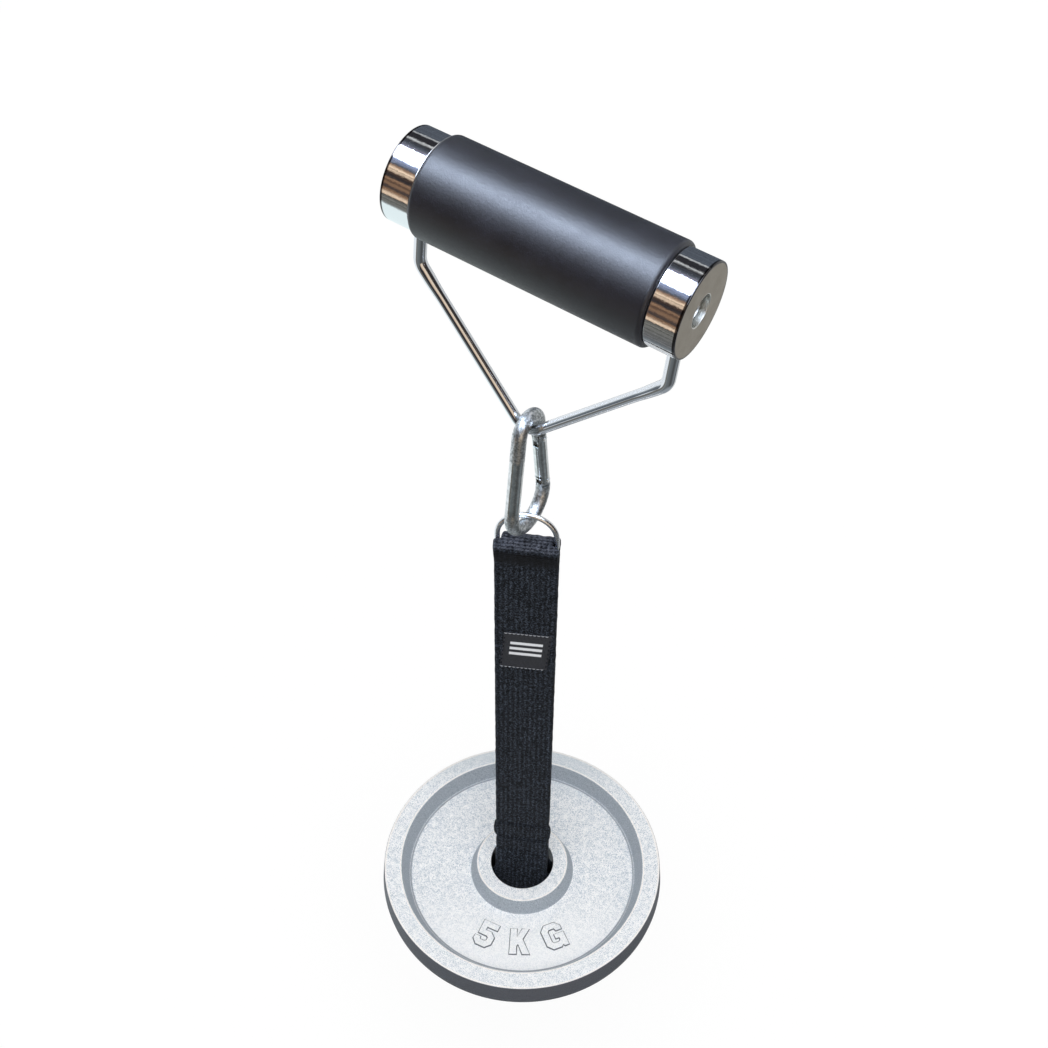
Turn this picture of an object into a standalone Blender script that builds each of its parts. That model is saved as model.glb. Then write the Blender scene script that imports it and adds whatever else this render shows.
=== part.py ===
# Loading pin for grip training: a thick rolling handle with a bent-rod bail, a snap hook,
# a D-ring and a webbing strap that carries a five-kilogram weight plate on a cross bar.
# Metres, +Z up. The origin is the middle of the handle, where the hand holds it.

import math

import bmesh
import bpy
from mathutils import Matrix, Vector

MM = 0.001
GAP = 0.3 * MM

# Handle
HANDLE_TILT = math.radians(5.2)
SLEEVE_DIAMETER = 60.0 * MM
SLEEVE_LENGTH = 144.4 * MM
SLEEVE_EDGE = 2.6 * MM
SLEEVE_MID_BORE = 38.0 * MM
COLLAR_DIAMETER = 55.0 * MM
COLLAR_LENGTH = 18.7 * MM
COLLAR_EDGE = 0.8 * MM
CORE_DIAMETER = 25.0 * MM
CORE_SEAT = 3.0 * MM
BUSH_WALL = 9.0 * MM
BUSH_LENGTH = 20.0 * MM
THRUST_WASHER_THICKNESS = 1.5 * MM
THRUST_WASHER_DIAMETER = 38.0 * MM
TURNED_EDGE = 0.8 * MM
WASHER_EDGE = 0.2 * MM

# Screws at the handle's ends
SCREW_DIAMETER = 8.0 * MM
SCREW_LENGTH = 26.0 * MM
SCREW_HEAD_DIAMETER = 13.0 * MM
SCREW_HEAD_HEIGHT = 5.5 * MM
SCREW_SOCKET_FLATS = 5.0 * MM
SCREW_SOCKET_DEPTH = 3.2 * MM
RECESS_DIAMETER = 18.6 * MM
RECESS_DEPTH = 11.0 * MM
LOCK_WASHER_DIAMETER = 15.4 * MM
LOCK_WASHER_THICKNESS = 1.7 * MM
SCREW_TIP = 1.0 * MM
TAPPED_DEPTH = 24.0 * MM

# Bail
BAIL_ROD = 6.6 * MM
BAIL_END_DEPTH = 11.5 * MM
BAIL_SHOULDER_DROP = 57.3 * MM
BAIL_VERTEX_DROP = 146.8 * MM
BAIL_SHOULDER_RADIUS = 9.0 * MM
BAIL_APEX_RADIUS = 11.7 * MM
BAIL_PIN_DIAMETER = 3.0 * MM
BAIL_PIN_LENGTH = 14.0 * MM
BAIL_PIN_DROP = 19.5 * MM
PIN_EDGE = 0.3 * MM

# Snap hook
HOOK_ROD = 9.2 * MM
HOOK_LENGTH = 98.4 * MM
HOOK_SMALL_BOW = 10.4 * MM
HOOK_LARGE_BOW = 18.2 * MM
GATE_DIAMETER = 9.0 * MM
GATE_PIN_DROP = 15.4 * MM
GATE_SPAN = 39.4 * MM
GATE_OVERHANG = 4.0 * MM
GATE_PIN_DIAMETER = 3.0 * MM
GATE_EDGE = 0.6 * MM
TONGUE_THICKNESS = 3.6 * MM
TONGUE_CLEARANCE = 2.4 * MM
NOSE_CLEARANCE = 1.0 * MM
SPRING_BORE = 4.4 * MM
SPRING_BORE_DEPTH = 16.0 * MM
SPRING_WIRE = 0.6 * MM
SPRING_DIAMETER = 3.3 * MM
SPRING_COILS = 7
PLUNGER_LENGTH = 6.0 * MM

# D-ring
RING_ROD = 3.6 * MM
RING_INNER_WIDTH = 35.2 * MM
RING_HEIGHT = 28.5 * MM
RING_CORNER = 2.3 * MM

# Strap
STRAP_TURN = math.radians(24.0)
STRAP_WIDTH = 42.8 * MM
WEBBING_THICKNESS = 2.4 * MM
FOLD_THICKNESS = 5.5 * MM
STRAP_NECK = 3.6 * MM
STRAP_SHOULDER = 9.0 * MM
TOP_SEAM_DROP = 18.0 * MM
BAR_SEAM_RISE = 57.0 * MM
LABEL_WIDTH = 33.4 * MM
LABEL_HEIGHT = 37.4 * MM
LABEL_THICKNESS = 0.7 * MM
LABEL_DROP = 105.9 * MM
LABEL_TURN = math.radians(2.2)

# Loading bar
BAR_DIAMETER = 22.0 * MM
BAR_LENGTH = 130.0 * MM
BAR_CHAMFER = 1.5 * MM
STRAP_LENGTH = 417.5 * MM

# Weight plate
PLATE_TOP_DIAMETER = 227.4 * MM
PLATE_DIAMETER = 230.4 * MM
PLATE_THICKNESS = 24.0 * MM
PLATE_HOLE = 50.8 * MM
PLATE_RIM_INNER = 199.0 * MM
PLATE_WEB_OUTER = 187.0 * MM
PLATE_RECESS = 12.4 * MM
HUB_TOP_DIAMETER = 75.0 * MM
HUB_BASE_DIAMETER = 84.4 * MM
HOLE_CHAMFER = 0.5 * MM
PLATE_FILLET = 2.0 * MM
PLATE_EDGE = 0.9 * MM
PLATE_FOOT_ROUND = 6.0 * MM

# How far a cutter runs past the face that it opens
OVERCUT = 1.0 * MM

# Values worked out from the sizes above, along the handle's axis
COLLAR_FACE = SLEEVE_LENGTH / 2 + GAP
HANDLE_END = COLLAR_FACE + COLLAR_LENGTH
WASHER_FACE = COLLAR_FACE - GAP - THRUST_WASHER_THICKNESS
BUSH_FACE = WASHER_FACE - GAP
BUSH_DIAMETER = CORE_DIAMETER + 2 * GAP + 2 * BUSH_WALL
BUSH_POCKET = BUSH_FACE - BUSH_LENGTH - GAP
CORE_END = COLLAR_FACE + CORE_SEAT - GAP
RECESS_FLOOR = HANDLE_END - RECESS_DEPTH
LOCK_WASHER_FACE = RECESS_FLOOR + GAP
SCREW_SEAT = LOCK_WASHER_FACE + LOCK_WASHER_THICKNESS + GAP
BAIL_HALF_SPAN = COLLAR_FACE + COLLAR_LENGTH / 2

# The hook's rod lies in the bail's apex, on the plumb line through the middle of the bend
ROD_SPACING = HOOK_ROD / 2 + GAP + BAIL_ROD / 2
ARM_ANGLE = math.atan2(BAIL_VERTEX_DROP - BAIL_SHOULDER_DROP, BAIL_HALF_SPAN)
APEX_CENTRE_DROP = BAIL_VERTEX_DROP - BAIL_APEX_RADIUS / math.cos(ARM_ANGLE)
HANG_X = -math.sin(HANDLE_TILT) * APEX_CENTRE_DROP
HOOK_TOP_Z = -math.cos(HANDLE_TILT) * APEX_CENTRE_DROP - (BAIL_APEX_RADIUS - ROD_SPACING)
TONGUE_RADIUS = 0.44 * HOOK_ROD
HOOK_BOTTOM_Z = HOOK_TOP_Z - (HOOK_LENGTH - HOOK_ROD)
RING_TOP_Z = HOOK_BOTTOM_Z + HOOK_ROD / 2 + GAP + RING_ROD / 2
RING_BAR_Z = RING_TOP_Z - RING_HEIGHT
BAR_Z = RING_BAR_Z - STRAP_LENGTH
PLATE_FOOT_Z = BAR_Z + BAR_DIAMETER / 2 + GAP
PLATE_TOP_Z = PLATE_FOOT_Z + PLATE_THICKNESS
PLY_INNER_FACE = GAP / 2
STRAP_TOP_WIDTH = RING_INNER_WIDTH + RING_ROD - 2 * RING_CORNER - 2 * GAP

COLOURS = {
    "grip_black": ((0.035, 0.037, 0.045), 0.45, 0.0),
    "chrome": ((0.78, 0.78, 0.80), 0.08, 1.0),
    "turned_steel": ((0.42, 0.40, 0.37), 0.35, 1.0),
    "zinc": ((0.66, 0.67, 0.70), 0.28, 1.0),
    "bearing_plastic": ((0.80, 0.78, 0.70), 0.5, 0.0),
    "webbing": ((0.018, 0.020, 0.030), 0.9, 0.0),
    "label_cloth": ((0.025, 0.027, 0.038), 0.7, 0.0),
    "cast_silver": ((0.62, 0.64, 0.67), 0.4, 0.85),
    "black_coat": ((0.022, 0.022, 0.025), 0.45, 0.0),
}


def clear_scene():
    for existing in list(bpy.data.objects):
        bpy.data.objects.remove(existing, do_unlink=True)


def material(name):
    made = bpy.data.materials.get(name)
    if made is None:
        colour, roughness, metallic = COLOURS[name]
        made = bpy.data.materials.new(name)
        made.use_nodes = True
        shader = made.node_tree.nodes["Principled BSDF"]
        shader.inputs["Base Color"].default_value = (*colour, 1.0)
        shader.inputs["Roughness"].default_value = roughness
        shader.inputs["Metallic"].default_value = metallic
        made.diffuse_color = (*colour, 1.0)
    return made


def empty(name, location=(0, 0, 0), rotation=(0, 0, 0), parent=None):
    axis = bpy.data.objects.new(name, None)
    axis.location = location
    axis.rotation_euler = rotation
    axis.parent = parent
    bpy.context.collection.objects.link(axis)
    return axis


def finish_mesh(name, mesh_data, finish=None, parent=None, location=(0, 0, 0), rotation=(0, 0, 0)):
    bmesh.ops.remove_doubles(mesh_data, verts=mesh_data.verts, dist=1e-7)
    bmesh.ops.recalc_face_normals(mesh_data, faces=mesh_data.faces)
    mesh = bpy.data.meshes.new(name)
    mesh_data.to_mesh(mesh)
    mesh_data.free()
    mesh.shade_smooth()
    mesh.set_sharp_from_angle(angle=math.radians(35))
    piece = bpy.data.objects.new(name, mesh)
    piece.location = location
    piece.rotation_euler = rotation
    piece.parent = parent
    if finish is not None:
        mesh.materials.append(material(finish))
    bpy.context.collection.objects.link(piece)
    return piece


def cut(piece, cutter, name):
    cutter.hide_render = True
    cutter.display_type = "WIRE"
    boolean = piece.modifiers.new(name, "BOOLEAN")
    boolean.operation = "DIFFERENCE"
    boolean.object = cutter


def turned(outline, segments):
    """A bmesh turned about local Z from a closed outline of (radius, height) points."""
    shape = bmesh.new()
    verts = [shape.verts.new((radius, 0.0, height)) for radius, height in outline]
    edges = [shape.edges.new((verts[i - 1], verts[i])) for i in range(len(verts))]
    bmesh.ops.spin(
        shape,
        geom=verts + edges,
        cent=(0, 0, 0),
        axis=(0, 0, 1),
        angle=2 * math.pi,
        steps=segments,
        use_merge=True,
        use_duplicate=False,
    )
    on_axis = [vert for vert in shape.verts if math.hypot(vert.co.x, vert.co.y) < 1e-7]
    bmesh.ops.remove_doubles(shape, verts=on_axis, dist=1e-6)
    slivers = [edge for edge in shape.edges if not edge.link_faces]
    bmesh.ops.delete(shape, geom=slivers, context="EDGES")
    return shape


def rod_outline(radius, low, high, chamfer):
    return [
        (0.0, low),
        (radius - chamfer, low),
        (radius, low + chamfer),
        (radius, high - chamfer),
        (radius - chamfer, high),
        (0.0, high),
    ]


def ring_outline(inner, outer, low, high, chamfer):
    return [
        (inner, low),
        (outer - chamfer, low),
        (outer, low + chamfer),
        (outer, high - chamfer),
        (outer - chamfer, high),
        (inner, high),
    ]


def prism(outline, low, high):
    """A bmesh prism from an outline of (x, y) points, between two heights."""
    shape = bmesh.new()
    verts = [shape.verts.new((x, y, low)) for x, y in outline]
    base = shape.faces.new(verts)
    grown = bmesh.ops.extrude_face_region(shape, geom=[base])
    top = [item for item in grown["geom"] if isinstance(item, bmesh.types.BMVert)]
    bmesh.ops.translate(shape, verts=top, vec=(0, 0, high - low))
    return shape


def rectangle(half_width, low, high):
    return [(-half_width, low), (half_width, low), (half_width, high), (-half_width, high)]


def arc(centre, radius, start, end, steps):
    """Points (a, b) on an arc, angles in radians, both ends included."""
    points = []
    for i in range(steps + 1):
        angle = start + (end - start) * i / steps
        points.append((centre[0] + radius * math.cos(angle), centre[1] + radius * math.sin(angle)))
    return points


def rounded_path(corners, radii, steps):
    """An open path through (a, b) corners, each inner corner rounded by its own radius."""
    points = [Vector(corners[0])]
    for i in range(1, len(corners) - 1):
        corner = Vector(corners[i])
        before = (Vector(corners[i - 1]) - corner).normalized()
        after = (Vector(corners[i + 1]) - corner).normalized()
        half_angle = before.angle(after) / 2
        setback = radii[i - 1] / math.tan(half_angle)
        centre = corner + (before + after).normalized() * radii[i - 1] / math.sin(half_angle)
        first = corner + before * setback - centre
        last = corner + after * setback - centre
        sweep = first.angle_signed(last)
        for k in range(steps + 1):
            points.append(centre + Matrix.Rotation(-sweep * k / steps, 2) @ first)
    points.append(Vector(corners[-1]))
    return points


def swept_rod(points, radius, sides, closed=False):
    """A bmesh tube of round section along a flat path of 3-D points."""
    shape = bmesh.new()
    count = len(points)
    span = (points[count // 3] - points[0]).cross(points[2 * count // 3] - points[0])
    normal = span.normalized()
    rings = []
    for i, point in enumerate(points):
        before = points[i - 1] if closed or i > 0 else point
        after = points[(i + 1) % count] if closed or i < count - 1 else point
        tangent = (after - before).normalized()
        outward = tangent.cross(normal)
        ring = []
        for k in range(sides):
            angle = 2 * math.pi * (k + 0.5) / sides
            offset = outward * math.cos(angle) + normal * math.sin(angle)
            ring.append(shape.verts.new(point + radius * offset))
        rings.append(ring)
    pairs = list(zip(rings, rings[1:]))
    if closed:
        pairs.append((rings[-1], rings[0]))
    for first, second in pairs:
        for k in range(sides):
            n = (k + 1) % sides
            shape.faces.new((first[k], first[n], second[n], second[k]))
    if not closed:
        shape.faces.new(rings[0])
        shape.faces.new(rings[-1])
    return shape


# Handle: turned pieces whose local Z runs along the handle

def make_sleeve(axis):
    end = SLEEVE_LENGTH / 2
    outer = SLEEVE_DIAMETER / 2
    pocket = BUSH_DIAMETER / 2 + GAP
    edge = arc((outer - SLEEVE_EDGE, end - SLEEVE_EDGE), SLEEVE_EDGE, math.pi / 2, 0, 3)
    outline = [(pocket, end)] + edge
    outline += [(radius, -height) for radius, height in reversed(edge)]
    outline += [(pocket, -end), (pocket, -BUSH_POCKET)]
    outline += [(SLEEVE_MID_BORE / 2, -BUSH_POCKET), (SLEEVE_MID_BORE / 2, BUSH_POCKET)]
    outline += [(pocket, BUSH_POCKET)]
    finish_mesh("grip_sleeve", turned(outline, 48), "grip_black", axis)


def make_core_shaft(axis):
    tapped = SCREW_DIAMETER / 2 + GAP
    outer = CORE_DIAMETER / 2
    floor = CORE_END - TAPPED_DEPTH
    half = [
        (0.0, floor - tapped * 0.6),
        (tapped, floor),
        (tapped, CORE_END),
        (outer - TURNED_EDGE, CORE_END),
        (outer, CORE_END - TURNED_EDGE),
    ]
    outline = half + [(radius, -height) for radius, height in reversed(half)]
    finish_mesh("core_shaft", turned(outline, 32), "turned_steel", axis)


def make_collar(side, end_axis):
    outer = COLLAR_DIAMETER / 2
    clearance = SCREW_DIAMETER / 2 + GAP
    seat = CORE_DIAMETER / 2 + GAP
    outline = [
        (clearance, COLLAR_FACE + CORE_SEAT),
        (seat, COLLAR_FACE + CORE_SEAT),
        (seat, COLLAR_FACE),
        (outer - COLLAR_EDGE / 2, COLLAR_FACE),
        (outer, COLLAR_FACE + COLLAR_EDGE / 2),
        (outer, HANDLE_END - COLLAR_EDGE),
        (outer - COLLAR_EDGE, HANDLE_END),
        (RECESS_DIAMETER / 2 + COLLAR_EDGE, HANDLE_END),
        (RECESS_DIAMETER / 2, HANDLE_END - COLLAR_EDGE),
        (RECESS_DIAMETER / 2, RECESS_FLOOR),
        (clearance, RECESS_FLOOR),
    ]
    collar = finish_mesh("collar_" + side, turned(outline, 44), "chrome", end_axis)
    bail_hole = finish_mesh(
        "bail_hole_" + side,
        turned(rod_outline(BAIL_ROD / 2 + GAP, BAIL_END_DEPTH - GAP, outer + OVERCUT, PIN_EDGE), 24),
        parent=end_axis,
        location=(0, 0, BAIL_HALF_SPAN),
        rotation=down_from(side),
    )
    cut(collar, bail_hole, "bail hole")
    cut(collar, pin_hole("collar", side, end_axis, COLLAR_FACE - GAP), "pin hole")


def down_from(side):
    """Turns a piece's local Z from the handle's end towards the bail, on either end."""
    turn = math.pi / 2 if side == "right" else -math.pi / 2
    return (0, turn, 0)


def bail_side(side):
    """The bail hangs towards local +X on the right end and local -X on the left end."""
    return 1 if side == "right" else -1


def pin_hole(piece, side, end_axis, low):
    high = COLLAR_FACE + GAP + BAIL_PIN_LENGTH + GAP
    outline = rod_outline(BAIL_PIN_DIAMETER / 2 + GAP, low, high, PIN_EDGE)
    where = (bail_side(side) * BAIL_PIN_DROP, 0, 0)
    return finish_mesh("pin_hole_" + piece + "_" + side, turned(outline, 12), parent=end_axis, location=where)


def make_handle_end(side, handle):
    turn = math.pi / 2 if side == "right" else -math.pi / 2
    end_axis = empty("end_axis_" + side, rotation=(0, turn, 0), parent=handle)
    make_collar(side, end_axis)

    bore = CORE_DIAMETER / 2 + GAP
    bush = ring_outline(bore, BUSH_DIAMETER / 2, BUSH_FACE - BUSH_LENGTH, BUSH_FACE, TURNED_EDGE)
    finish_mesh("bush_" + side, turned(bush, 28), "bearing_plastic", end_axis)
    washer_end = WASHER_FACE + THRUST_WASHER_THICKNESS
    washer = ring_outline(bore, THRUST_WASHER_DIAMETER / 2, WASHER_FACE, washer_end, WASHER_EDGE)
    finish_mesh("thrust_washer_" + side, turned(washer, 28), "turned_steel", end_axis)
    clearance = SCREW_DIAMETER / 2 + GAP
    lock_end = LOCK_WASHER_FACE + LOCK_WASHER_THICKNESS
    lock = ring_outline(clearance, LOCK_WASHER_DIAMETER / 2, LOCK_WASHER_FACE, lock_end, WASHER_EDGE)
    finish_mesh("lock_washer_" + side, turned(lock, 20), "zinc", end_axis)
    make_end_screw(side, end_axis)

    pin_low = COLLAR_FACE + GAP
    pin = rod_outline(BAIL_PIN_DIAMETER / 2, pin_low, pin_low + BAIL_PIN_LENGTH, PIN_EDGE)
    where = (bail_side(side) * BAIL_PIN_DROP, 0, 0)
    finish_mesh("bail_pin_" + side, turned(pin, 12), "turned_steel", end_axis, where)


def make_end_screw(side, end_axis):
    head = SCREW_HEAD_DIAMETER / 2
    shank = SCREW_DIAMETER / 2
    top = SCREW_SEAT + SCREW_HEAD_HEIGHT
    tip = SCREW_SEAT - SCREW_LENGTH
    outline = [
        (0.0, tip),
        (shank - SCREW_TIP, tip),
        (shank, tip + SCREW_TIP),
        (shank, SCREW_SEAT),
        (head, SCREW_SEAT),
        (head, top - TURNED_EDGE),
        (head - TURNED_EDGE, top),
        (0.0, top),
    ]
    screw = finish_mesh("end_screw_" + side, turned(outline, 24), "zinc", end_axis)
    corner = SCREW_SOCKET_FLATS / 2 / math.cos(math.pi / 6)
    hexagon = [
        (corner * math.cos(k * math.pi / 3), corner * math.sin(k * math.pi / 3)) for k in range(6)
    ]
    socket = finish_mesh(
        "hex_socket_" + side,
        prism(hexagon, top - SCREW_SOCKET_DEPTH, top + OVERCUT),
        parent=end_axis,
    )
    cut(screw, socket, "hex socket")


def make_bail(handle):
    corners = [
        (-BAIL_HALF_SPAN, -BAIL_END_DEPTH),
        (-BAIL_HALF_SPAN, -BAIL_SHOULDER_DROP),
        (0.0, -BAIL_VERTEX_DROP),
        (BAIL_HALF_SPAN, -BAIL_SHOULDER_DROP),
        (BAIL_HALF_SPAN, -BAIL_END_DEPTH),
    ]
    radii = [BAIL_SHOULDER_RADIUS, BAIL_APEX_RADIUS, BAIL_SHOULDER_RADIUS]
    flat = rounded_path(corners, radii, 8)
    path = [Vector((along, 0.0, height)) for along, height in flat]
    bail = finish_mesh("bail", swept_rod(path, BAIL_ROD / 2, 16), "chrome", handle)
    for side in ("left", "right"):
        end_axis = bpy.data.objects["end_axis_" + side]
        low = COLLAR_FACE + GAP
        cut(bail, pin_hole("bail", side, end_axis, low), "pin hole " + side)


# Snap hook: its rod lies in the YZ plane, with the gate on the far side

def hook_path():
    """Centre line of the hook's rod as (y, z), from the gate's pin round to the latch."""
    small = (0.0, -HOOK_SMALL_BOW)
    large = (0.0, -(HOOK_LENGTH - HOOK_ROD) + HOOK_LARGE_BOW)
    lean = math.asin((HOOK_LARGE_BOW - HOOK_SMALL_BOW) / (small[1] - large[1]))
    top = arc(small, HOOK_SMALL_BOW, lean, math.pi - lean, 14)
    bottom = arc(large, HOOK_LARGE_BOW, math.pi - lean, 2 * math.pi + lean, 20)
    return top, bottom, lean


def gate_frame(hook_axis):
    """An empty on the gate's pin, with local Z up along the gate side of the hook."""
    top, bottom, lean = hook_path()
    start = Vector(top[0])
    along = (Vector(bottom[-1]) - start).normalized()
    pin = start + along * GATE_PIN_DROP
    where = (0.0, pin.x, pin.y)
    return empty("gate_axis", where, (lean, 0, 0), hook_axis)


def slot_block(name, half_thickness, outline, parent):
    """A prism across the hook, from an outline of (outward, up) points in the gate's frame."""
    block = finish_mesh(name, prism(outline, -half_thickness, half_thickness), parent=parent)
    block.matrix_local = Matrix(((0, 0, 1, 0), (1, 0, 0, 0), (0, 1, 0, 0), (0, 0, 0, 1)))
    return block


def cheek_cutters(name, low, high, parent):
    """Two blocks that leave a flat tongue between them."""
    inner = TONGUE_THICKNESS / 2
    blocks = []
    for label, sign in (("near", -1), ("far", 1)):
        block = slot_block(name + "_" + label, HOOK_ROD / 2, rectangle(HOOK_ROD, low, high), parent)
        block.location.x = sign * (inner + HOOK_ROD / 2)
        blocks.append(block)
    return blocks


def make_hook_body(hook_axis, gate_axis):
    top, bottom, lean = hook_path()
    start = Vector(top[0])
    along = (Vector(bottom[-1]) - start).normalized()
    pin = start + along * GATE_PIN_DROP
    upper_end = pin + along * (HOOK_ROD * 0.6)
    nose_end = pin + along * (GATE_SPAN - GATE_OVERHANG + GAP)
    flat = [upper_end] + [Vector(point) for point in top]
    flat += [Vector(point) for point in bottom] + [nose_end]
    path = [Vector((0.0, across, height)) for across, height in flat]
    hook = finish_mesh("hook_body", swept_rod(path, HOOK_ROD / 2, 16), "zinc", hook_axis)

    reach = HOOK_ROD
    upper_shoulder = GATE_DIAMETER / 2 + NOSE_CLEARANCE
    for block in cheek_cutters("upper_cheek", -reach, upper_shoulder, gate_axis):
        cut(hook, block, "upper cheek")
    nose_shoulder = -(GATE_SPAN + GATE_OVERHANG + NOSE_CLEARANCE)
    for block in cheek_cutters("nose_cheek", nose_shoulder, -GATE_SPAN + reach, gate_axis):
        cut(hook, block, "nose cheek")
    bite = arc((0, 0), TONGUE_RADIUS, math.pi, 2 * math.pi, 10)
    end_shape = [(-reach, 0.0)] + bite + [(reach, 0.0), (reach, -reach), (-reach, -reach)]
    cut(hook, slot_block("tongue_end", reach, end_shape, gate_axis), "tongue end")

    hole = GATE_PIN_DIAMETER / 2 + GAP
    cut(hook, cross_rod("rivet_hole", hole, reach, 0.0, gate_axis), "rivet hole")
    notch = [(hole, -GATE_SPAN - hole), (hole, -GATE_SPAN + hole)]
    notch += [(-reach, -GATE_SPAN + hole + OVERCUT), (-reach, -GATE_SPAN - hole)]
    cut(hook, slot_block("latch_notch", reach, notch, gate_axis), "latch notch")


def cross_rod(name, radius, half_length, height, parent, finish=None):
    outline = rod_outline(radius, -half_length, half_length, PIN_EDGE)
    return finish_mesh(
        name, turned(outline, 16), finish, parent, (0, 0, height), (0, math.pi / 2, 0)
    )


def make_gate(gate_axis):
    radius = GATE_DIAMETER / 2
    low = -(GATE_SPAN + GATE_OVERHANG)
    outline = [
        (0.0, low),
        (radius - GATE_EDGE, low),
        (radius, low + GATE_EDGE),
        (radius, radius),
        (0.0, radius),
    ]
    gate = finish_mesh("gate", turned(outline, 20), "zinc", gate_axis)
    bite = arc((0, 0), radius - GAP / 3, math.pi, 0, 10)
    reach = 2 * radius
    top_shape = [(-reach, 0.0)] + bite + [(reach, 0.0), (reach, reach), (-reach, reach)]
    cut(gate, slot_block("gate_top", reach, top_shape, gate_axis), "rounded top")
    slot = TONGUE_THICKNESS / 2 + GAP
    upper_floor = -TONGUE_RADIUS - TONGUE_CLEARANCE
    nose_slot_top = -(GATE_SPAN - GATE_OVERHANG) + NOSE_CLEARANCE
    cut(gate, slot_block("fork_slot", slot, rectangle(reach, upper_floor, reach), gate_axis), "fork")
    nose_slot = rectangle(reach, low - reach, nose_slot_top)
    cut(gate, slot_block("nose_slot", slot, nose_slot, gate_axis), "nose slot")
    hole = GATE_PIN_DIAMETER / 2 + GAP
    cut(gate, cross_rod("gate_rivet_hole", hole, reach, 0.0, gate_axis), "rivet hole")
    cut(gate, cross_rod("gate_latch_hole", hole, reach, -GATE_SPAN, gate_axis), "latch hole")
    bore_floor = upper_floor - SPRING_BORE_DEPTH
    bore = rod_outline(SPRING_BORE / 2, bore_floor, upper_floor + OVERCUT, PIN_EDGE)
    cut(gate, finish_mesh("spring_bore", turned(bore, 16), parent=gate_axis), "spring bore")

    pin_half = radius - GAP
    pin_radius = GATE_PIN_DIAMETER / 2
    cross_rod("gate_rivet", pin_radius, pin_half, 0.0, gate_axis, "turned_steel")
    cross_rod("latch_pin", pin_radius, pin_half, -GATE_SPAN, gate_axis, "turned_steel")

    plunger_top = -TONGUE_RADIUS - GAP
    plunger_low = plunger_top - PLUNGER_LENGTH
    plunger = rod_outline(SPRING_DIAMETER / 2, plunger_low, plunger_top, PIN_EDGE)
    finish_mesh("gate_plunger", turned(plunger, 16), "turned_steel", gate_axis)
    make_gate_spring(gate_axis, plunger_low - GAP, bore_floor + GAP)


def make_gate_spring(gate_axis, high, low):
    radius = (SPRING_DIAMETER - SPRING_WIRE) / 2
    count = SPRING_COILS * 8
    rise = high - low - SPRING_WIRE
    path = []
    for i in range(count + 1):
        angle = 2 * math.pi * i / 8
        height = low + SPRING_WIRE / 2 + rise * i / count
        path.append(Vector((radius * math.cos(angle), radius * math.sin(angle), height)))
    curve = bpy.data.curves.new("gate_spring", "CURVE")
    curve.dimensions = "3D"
    curve.bevel_depth = SPRING_WIRE / 2
    curve.bevel_resolution = 0
    curve.use_fill_caps = True
    spline = curve.splines.new("POLY")
    spline.points.add(count)
    for point, place in zip(spline.points, path):
        point.co = (*place, 1.0)
    curve.materials.append(material("turned_steel"))
    spring = bpy.data.objects.new("gate_spring", curve)
    spring.parent = gate_axis
    bpy.context.collection.objects.link(spring)


# D-ring and strap: their width runs along the strap axis' local X

def make_ring(strap_axis):
    half = RING_INNER_WIDTH / 2 + RING_ROD / 2
    shoulder = RING_HEIGHT - half
    crown = arc((0.0, shoulder), half, 0, math.pi, 20)
    left = arc((-half + RING_CORNER, RING_CORNER), RING_CORNER, math.pi, 1.5 * math.pi, 5)
    right = arc((half - RING_CORNER, RING_CORNER), RING_CORNER, 1.5 * math.pi, 2 * math.pi, 5)
    loop = crown + left + right
    kept = [loop[0]]
    for point in loop[1:]:
        if math.dist(point, kept[-1]) > 0.2 * MM and math.dist(point, kept[0]) > 0.2 * MM:
            kept.append(point)
    path = [Vector((across, 0.0, RING_BAR_Z + height)) for across, height in kept]
    finish_mesh("d_ring", swept_rod(path, RING_ROD / 2, 10, closed=True), "zinc", strap_axis)


def tangent_angle(offset, rise, radius):
    """The angle on a loop's circle where a straight ply from (offset, rise) touches it."""
    return math.atan2(rise, offset) - math.acos(radius / math.hypot(offset, rise))


def strap_half_path():
    """Inner face of one ply as (offset, z), from the top of the ring's loop to below the bar."""
    top_radius = RING_ROD / 2 + GAP
    bar_radius = BAR_DIAMETER / 2 + GAP
    top_seam = RING_BAR_Z - TOP_SEAM_DROP
    bar_seam = BAR_Z + BAR_SEAM_RISE
    top_touch = -tangent_angle(PLY_INNER_FACE, TOP_SEAM_DROP, top_radius)
    bar_touch = tangent_angle(PLY_INNER_FACE, BAR_SEAM_RISE, bar_radius)
    path = arc((0.0, RING_BAR_Z), top_radius, math.pi / 2, top_touch, 8)
    path += between(path[-1], (PLY_INNER_FACE, top_seam), 8)
    path += between(path[-1], (PLY_INNER_FACE, bar_seam), 12)
    path += arc((0.0, BAR_Z), bar_radius, bar_touch, -math.pi / 2, 12)
    return path


def between(first, last, steps):
    """Evenly spaced points after the first one, up to and with the last."""
    return [Vector(first).lerp(Vector(last), i / steps).to_tuple() for i in range(1, steps + 1)]


def ply_thickness(height):
    """The webbing is turned back on itself over the ring, and thins to one layer at that eye's seam."""
    share = min(max((RING_BAR_Z - height) / TOP_SEAM_DROP, 0.0), 1.0)
    smooth = share * share * (3 - 2 * share)
    return FOLD_THICKNESS + (WEBBING_THICKNESS - FOLD_THICKNESS) * smooth


def strap_half_width(height):
    """The webbing gathers inside the ring and widens to its full width below it."""
    drop = RING_BAR_Z - height
    share = min(max((drop - STRAP_NECK) / STRAP_SHOULDER, 0.0), 1.0)
    smooth = share * share * (3 - 2 * share)
    return (STRAP_TOP_WIDTH + (STRAP_WIDTH - STRAP_TOP_WIDTH) * smooth) / 2


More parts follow.
